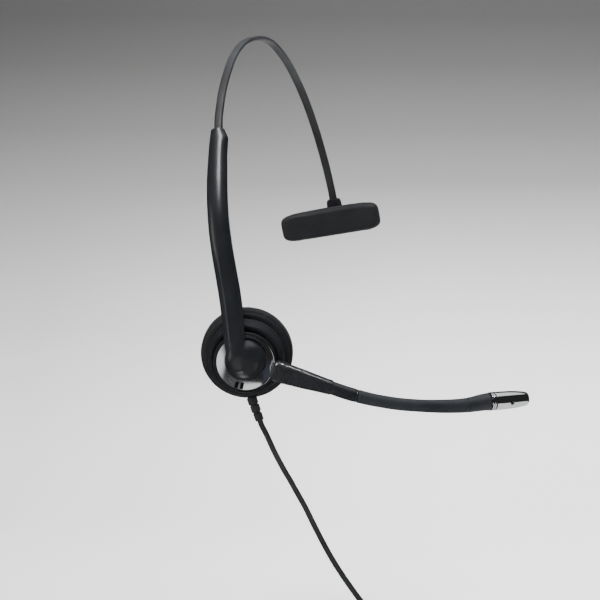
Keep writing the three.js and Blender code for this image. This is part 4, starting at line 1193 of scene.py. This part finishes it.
holder = copy_of("tbar_holder", "temple_holder", 0.3, 3, 28)
bar = copy_of("tbar_plate", "temple_bar_plate", 0.25, 2, 30)
for ob, node, body in ((holder, "tbar_holder", "band"), (bar, "tbar_plate", "temple_bar")):
    dress(ob, SATIN)
    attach(ob, body)
    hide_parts(node)

# temple pad: a small stuffed cushion, bowed to the head
L2, H2 = 32.3, 9.4
ny, nseg = 14, 120
pad_verts_rows = []
sec_pts = []
outline = superellipse(L2, L2, H2, H2, 0.42, 0.42, nseg)
rows = [(0.0, -7.55, 0), (0.55, -7.5, 0), (0.86, -7.48, 0), (0.955, -7.7, 1), (0.985, -8.4, 1), (1.0, -9.6, 1), (1.0, -11.2, 1), (0.992, -12.6, 1), (0.955, -13.8, 1), (0.88, -14.7, 1), (0.74, -15.2, 1), (0.5, -15.35, 1), (0.25, -15.4, 1), (0.0, -15.4, 1)]


def pad_place(x, z, y):
    k = x / 33.0
    return at_end(x, y - 3.4 * k * k, PIN_Z + z)


rings = []
for f, y, _ in rows[1:-1]:
    inset = (1 - f)
    rings.append([pad_place(x * (1 - inset * H2 / L2 * 1.0) if f > 0.5 else x * (1 - inset * 0.6), z * f, y) for x, z in outline])
verts, faces = loft_mesh(rings, True, True)
pad = make("temple_cushion", verts, faces)


def end_coords(p):
    q = p / MM - band_end
    return q.dot(HX), q.dot(HY), q.dot(HZ) - PIN_Z


pins = {}
for v in pad.data.vertices:
    x, y, z = end_coords(v.co)
    yy = y + 3.4 * (x / 33.0) ** 2
    if yy > -7.9:
        pins[v.index] = 1.0
inflate(pad, pins, 2.2, 16, 0.5, shrink=-0.02)
subdivided(pad, 1)
for v in pad.data.vertices:
    x, y, z = end_coords(v.co)
    yy = y + 3.4 * (x / 33.0) ** 2
    e = max(abs(x) / L2, abs(z) / H2)
    rim = smooth(e, 0.8, 0.97)
    seam = math.exp(-((yy + 9.0) / 0.3) ** 2) * rim
    a = math.atan2(z / H2, x / L2)
    g = math.exp(-((yy + 10.2) / 1.4) ** 2) * rim * (math.sin(41 * a + 1.1 * math.sin(5 * a)) * 0.6 + math.sin(67 * a) * 0.4)
    k = 1 - (0.36 * seam - 0.05 * g) / max(math.hypot(x, z), 1)
    x2, z2 = x * k, z * k
    yy = min(max(yy, -15.5), -7.3)
    v.co = at_end(min(max(x2, -33), 33), yy - 3.4 * (x2 / 33.0) ** 2, PIN_Z + min(max(z2, -10), 10)) * MM
pad.data.update()
shade(pad)
dress(pad, SKIN)
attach(pad, "temple_bar")
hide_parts("temple_pad")

# ------------------------------------------------------------------ finishes of the CAD nodes that stay
KEPT = {
    "cushion_carrier": MATTE, "speaker_baffle": MATTE, "speaker_frame": MATTE, "speaker_diaphragm": CLOTH, "speaker_magnet": STEEL, "terminal_board": BOARD,
    "baffle_screw_1": STEEL, "baffle_screw_2": STEEL, "baffle_screw_3": STEEL, "pivot_stud": STEEL, "stud_clip": STEEL, "ball_socket": MATTE, "socket_retainer": MATTE,
    "hub_bearing": MATTE, "detent_washer": STEEL, "boom_screw_1": STEEL, "boom_screw_2": STEEL, "core_rear": STEEL, "core_front": STEEL, "mic_gasket": RUBBER, "mic_capsule": STEEL,
    "arm_screw_1": STEEL, "arm_screw_2": STEEL, "slider_spring": STEEL, "band_core": STEEL, "band_stop": STEEL, "tbar_pin": STEEL,
    "connector_insert": MATTE, "connector_contact_1": GOLD, "connector_contact_2": GOLD, "connector_contact_3": GOLD, "connector_contact_4": GOLD,
}
for name, mat in KEPT.items():
    dress(NODES[name], mat)

# ------------------------------------------------------------------ floor, backdrop and light
def sweep(name, prof, paper):
    """Part of the seamless paper, from (distance behind the object, height) points."""
    yaw = math.radians(20)
    back = Vector((-math.sin(yaw), math.cos(yaw), 0))
    side = Vector((math.cos(yaw), math.sin(yaw), 0))
    verts, faces = [], []
    for d, z in prof:
        for sx in (-3.2, 3.2):
            q = back * d + side * sx
            verts.append((q.x, q.y, z))
    for i in range(len(prof) - 1):
        faces.append((2 * i, 2 * i + 1, 2 * i + 3, 2 * i + 2))
    me = bpy.data.meshes.new(name)
    me.from_pydata(verts, [], faces)
    me.polygons.foreach_set("use_smooth", [True] * len(me.polygons))
    ob = bpy.data.objects.new(name, me)
    bpy.context.scene.collection.objects.link(ob)
    me.materials.append(paper)
    return ob


FLOOR, BEND_R = -0.155, 0.75
paper, nt, b = nodes_of("studio_paper")
v = coords(nt)
sep = nt.nodes.new("ShaderNodeSeparateXYZ")
nt.links.new(v, sep.inputs[0])
# the paper's colour is painted darker higher up: painted shade by height, from near white on the floor to dark grey
# high on the wall
ramp = nt.nodes.new("ShaderNodeValToRGB")
nt.links.new(remap(nt, sep.outputs[2], 0.0, 1.0, -0.155, 0.36), ramp.inputs[0])
painted_shade_tones = [(0.0, 0.88), (0.11, 0.87), (0.24, 0.79), (0.355, 0.65), (0.48, 0.46), (0.608, 0.31), (0.734, 0.20), (0.885, 0.118), (1.0, 0.085)]
while len(ramp.color_ramp.elements) < len(painted_shade_tones):
    ramp.color_ramp.elements.new(0.5)
for stop, (at, grey) in zip(ramp.color_ramp.elements, painted_shade_tones):
    stop.position = at
    stop.color = (grey, grey, grey * 0.993, 1)
mottle = remap(nt, noise(nt, v, 6, 4), 0.0, 0.05)
# the paper is painted darker towards the left and higher up, as painted shade, and glows brighter towards the right and
# low down, as painted light
across = nt.nodes.new("ShaderNodeVectorMath")
across.operation = "DOT_PRODUCT"
nt.links.new(v, across.inputs[0])
across.inputs[1].default_value = (math.cos(math.radians(20)), math.sin(math.radians(20)), 0)
painted_shade_left = math_node(nt, "MULTIPLY", remap(nt, across.outputs["Value"], 0.20, 0.0, -0.40, 0.12), remap(nt, sep.outputs[2], 0.0, 1.0, -0.12, 0.0))
nt.links.new(mix_colour(nt, math_node(nt, "ADD", mottle, painted_shade_left), ramp.outputs[0], (0.03, 0.03, 0.03)), b.inputs["Base Color"])
painted_glow = math_node(nt, "MULTIPLY", remap(nt, across.outputs["Value"], 0.0, 1.0, -0.24, 0.16), remap(nt, sep.outputs[2], 1.0, 0.0, -0.10, 0.16))
nt.links.new(mix_colour(nt, painted_glow, (0.0, 0.0, 0.0), (0.80, 0.80, 0.805)), b.inputs["Emission Color"])
b.inputs["Emission Strength"].default_value = 1.0
b.inputs["Roughness"].default_value = 0.9
b.inputs["Specular IOR Level"].default_value = 0.15
# the paper is seen through from its back, so that it hides nothing from behind or below
sheer = nt.nodes.new("ShaderNodeBsdfTransparent")
side_of = nt.nodes.new("ShaderNodeNewGeometry")
one_sided = nt.nodes.new("ShaderNodeMixShader")
nt.links.new(side_of.outputs["Backfacing"], one_sided.inputs[0])
nt.links.new(b.outputs[0], one_sided.inputs[1])
nt.links.new(sheer.outputs[0], one_sided.inputs[2])
nt.links.new(one_sided.outputs[0], next(n for n in nt.nodes if n.type == "OUTPUT_MATERIAL").inputs[0])
floor = sweep("studio_floor", [(-2.6, FLOOR), (-1.2, FLOOR), (0.55, FLOOR)], paper)
wall = sweep("studio_wall", [(0.55, FLOOR)] + [(0.55 + BEND_R * math.sin(math.pi / 2 * k / 60), FLOOR + BEND_R * (1 - math.cos(math.pi / 2 * k / 60))) for k in range(1, 61)] + [(0.55 + BEND_R, 2.6)], paper)
floor.visible_glossy = wall.visible_glossy = False


def area(name, loc, target, size, power, size_y=None, colour=(1, 1, 1)):
    ld = bpy.data.lights.new(name, "AREA")
    ld.shape = "RECTANGLE"
    ld.size = size
    ld.size_y = size_y or size
    ld.energy = power
    ld.color = colour
    ob = bpy.data.objects.new(name, ld)
    ob.location = loc
    ob.rotation_euler = (Vector(target) - Vector(loc)).to_track_quat("-Z", "Y").to_euler()
    bpy.context.scene.collection.objects.link(ob)
    return ob


soft = area("front_soft", (-0.10, -0.66, 1.02), (0.02, -0.03, 0.05), 0.38, 13.4, 0.42)
fills = [area("top_soft", (-0.05, 0.10, 1.35), (0.03, 0.03, 0), 1.2, 11.0, 1.0),
         area("back_left", (-0.9, 0.35, 0.5), (0.0, 0.0, 0.1), 0.5, 3.0, 0.9),
         area("back_right", (0.95, 0.55, 0.6), (0.05, 0.0, 0.0), 0.5, 3.0, 0.8),
         area("backdrop", (0.25, 0.25, 1.15), (-0.2, 1.25, -0.1), 1.4, 22.0, 0.7)]
for ob in fills:
    ob.visible_glossy = False
area("side_left", (-0.78, -0.66, 0.10), (0.0, -0.02, 0.0), 0.22, 1.2, 0.5, (1.0, 0.97, 0.93))
# a thin overhead strip that only grazes the upper edge of the boom's root
strip = area("edge_strip", (0.327, 0.086, 0.715), (0.04, 0.001, -0.027), 0.10, 34.0, 0.10)
strip.visible_diffuse = False
grazed = bpy.data.collections.new("grazed_edge")
grazed.objects.link(root)
strip.light_linking.receiver_collection = grazed

# cards below the headset, seen only in reflections: a black sheet under the cup and boom that paints a dark reflection,
# and a small glowing card under the knob that paints a soft highlight
MIC_AXIS = Vector((MT.x, MT.y, 0)).normalized()


def card_edge(y):
    return (MO.x * MM) + (0.020 - (y - MO.y * MM) * MIC_AXIS.y) / MIC_AXIS.x


def reflected_only(name, verts, material):
    me = bpy.data.meshes.new(name)
    me.from_pydata(verts, [], [tuple(range(len(verts)))])
    ob = bpy.data.objects.new(name, me)
    bpy.context.scene.collection.objects.link(ob)
    me.materials.append(material)
    ob.visible_camera = ob.visible_diffuse = ob.visible_shadow = ob.visible_transmission = ob.visible_volume_scatter = False
    return ob


# a black sheet seen only in reflections: painted dark reflection
dark_reflection_mat, nt, b = nodes_of("painted_dark_reflection")
nt.links.new(mix_colour(nt, noise(nt, coords(nt), 40, 3), (0.010, 0.010, 0.011), (0.020, 0.020, 0.021)), b.inputs["Base Color"])
b.inputs["Roughness"].default_value = 1.0
b.inputs["Specular IOR Level"].default_value = 0.0
reflected_only("black_card", [(-0.35, -0.085, -0.10), (card_edge(-0.085), -0.085, -0.10), (card_edge(0.45), 0.45, -0.10), (-0.35, 0.45, -0.10)], dark_reflection_mat)
# a glowing card seen only in reflections, no lamp: painted highlight on the knob
painted_highlight_mat, nt, b = nodes_of("painted_highlight_card")
nt.links.new(mix_colour(nt, noise(nt, coords(nt), 60, 3), (0.9, 0.88, 0.88), (1.0, 0.98, 0.98)), b.inputs["Emission Color"])
b.inputs["Emission Strength"].default_value = 2.6
reflected_only("glow_card", [(0.003 + 0.02 * math.cos(math.radians(15 * k)), -0.052 + 0.02 * math.sin(math.radians(15 * k)), -0.097) for k in range(24)], painted_highlight_mat)

world = bpy.data.worlds.new("studio")
bpy.context.scene.world = world
world.use_nodes = True
wn = world.node_tree
wn.nodes.clear()
wo = wn.nodes.new("ShaderNodeOutputWorld")
wb = wn.nodes.new("ShaderNodeBackground")
tc = wn.nodes.new("ShaderNodeTexCoord")
sep = wn.nodes.new("ShaderNodeSeparateXYZ")
wn.links.new(tc.outputs["Generated"], sep.inputs[0])


def toward(direction):
    d = wn.nodes.new("ShaderNodeVectorMath")
    d.operation = "DOT_PRODUCT"
    wn.links.new(tc.outputs["Generated"], d.inputs[0])
    d.inputs[1].default_value = direction
    return d.outputs["Value"]


def between(value, a, b_, c, d):
    """1 from b_ to c, fading to 0 at a and d."""
    return math_node(wn, "MULTIPLY", remap(wn, value, 0.0, 1.0, a, b_), remap(wn, value, 1.0, 0.0, c, d))


def patch(across, up, level):
    return math_node(wn, "MULTIPLY", math_node(wn, "MULTIPLY", across, up), level)


def total(*parts):
    out = parts[0]
    for q in parts[1:]:
        out = math_node(wn, "ADD", out, q)
    return out


def tinted(level, colour):
    return mix_colour(wn, level, (0.0, 0.0, 0.0), colour)


# general light of the studio: bright high up in front, a paler left side, dim elsewhere
high = sep.outputs[2]
upper = remap(wn, high, 0.0, 1.0, 0.66, 0.84)
front = remap(wn, toward((-0.342, 0.94, 0.0)), 1.0, 0.0, 0.0, 0.55)
left = remap(wn, toward((-0.94, -0.342, 0.0)), 0.0, 1.0, 0.75, 0.97)
room = total(patch(upper, front, 0.85), math_node(wn, "MULTIPLY", left, 0.22), 0.05)

# what the glossy parts mirror: the overhead sheet, a low white board on the left, another below the disc, the table under the microphone
azim = math_node(wn, "MULTIPLY", math_node(wn, "ARCTAN2", sep.outputs[1], sep.outputs[0]), 57.29578)
elev = math_node(wn, "MULTIPLY", math_node(wn, "ARCSINE", high, 0.0), 57.29578)
streak_at = wn.nodes.new("ShaderNodeCombineXYZ")
wn.links.new(math_node(wn, "ADD", azim, math_node(wn, "MULTIPLY", elev, 0.8)), streak_at.inputs[0])
wn.links.new(math_node(wn, "MULTIPLY", elev, 0.12), streak_at.inputs[1])
streaks = remap(wn, noise(wn, streak_at.outputs[0], 2.2, 3), 0.10, 1.0, 0.45, 0.66)
overhead = patch(between(azim, -66.0, -50.0, 130.0, 150.0), remap(wn, high, 0.0, 1.0, 0.79, 0.86), 1.5)
low = math_node(wn, "ADD", remap(wn, elev, 0.0, 0.5, -37.6, -33.2), remap(wn, elev, 0.0, 0.5, -33.2, -30.6))
board_up = math_node(wn, "MULTIPLY", low, math_node(wn, "MULTIPLY", remap(wn, elev, 1.0, 0.5, -29.8, -27.4), remap(wn, elev, 1.0, 0.0, -22.0, -12.0)))
left_board = patch(math_node(wn, "MULTIPLY", remap(wn, azim, 0.0, 1.0, -126.0, -116.0), remap(wn, azim, 1.0, 0.25, -85.6, -82.6)), board_up, 2.6)
leaning = math_node(wn, "ADD", azim, remap(wn, elev, 1.7, 0.0, -36.2, -31.5))
left_board = math_node(wn, "MULTIPLY", left_board, remap(wn, leaning, 1.0, 0.0, -82.6, -82.0))
lower_board = patch(between(azim, -77.7, -76.9, -71.2, -70.6), between(elev, -56.0, -50.0, -38.1, -37.5), 1.35)
broken = math_node(wn, "MULTIPLY", patch(between(azim, -84.5, -83.0, -77.7, -77.0), between(elev, -50.0, -46.0, -37.0, -34.5), 0.22), streaks)
table_front = math_node(wn, "MULTIPLY", between(azim, -58.0, -46.0, 60.0, 70.0), remap(wn, high, 1.0, 0.0, -0.50, -0.44))
table_back = math_node(wn, "MULTIPLY", between(azim, 60.0, 70.0, 140.0, 155.0), remap(wn, high, 1.0, 0.0, -0.30, -0.10))
table = math_node(wn, "MULTIPLY", math_node(wn, "ADD", table_front, table_back), 0.88)
blue = patch(between(azim, -70.6, -69.8, -58.0, -50.0), between(elev, -52.0, -46.0, -34.0, -30.0), 0.045)
mirrored = total(overhead, left_board, lower_board, broken, table, math_node(wn, "MULTIPLY", left, 0.15), 0.022)
paths = wn.nodes.new("ShaderNodeLightPath")
shown = wn.nodes.new("ShaderNodeMix")
shown.data_type = "RGBA"
wn.links.new(paths.outputs["Is Glossy Ray"], shown.inputs[0])
wn.links.new(tinted(room, (1.0, 1.01, 1.02)), shown.inputs[6])
both = wn.nodes.new("ShaderNodeMix")
both.data_type = "RGBA"
both.blend_type = "ADD"
both.inputs[0].default_value = 1.0
wn.links.new(tinted(mirrored, (1.0, 1.0, 1.0)), both.inputs[6])
wn.links.new(tinted(blue, (0.55, 0.65, 1.0)), both.inputs[7])
wn.links.new(both.outputs[2], shown.inputs[7])
# past the paper's edges a view meets a pale grey, painted darker higher up
seen = wn.nodes.new("ShaderNodeMix")
seen.data_type = "RGBA"
wn.links.new(paths.outputs["Is Camera Ray"], seen.inputs[0])
wn.links.new(shown.outputs[2], seen.inputs[6])
wn.links.new(tinted(remap(wn, high, 0.62, 0.26, -0.04, 0.34), (1.0, 1.0, 0.995)), seen.inputs[7])
wn.links.new(seen.outputs[2], wb.inputs["Color"])
wb.inputs["Strength"].default_value = 1.0
wn.links.new(wb.outputs[0], wo.inputs[0])
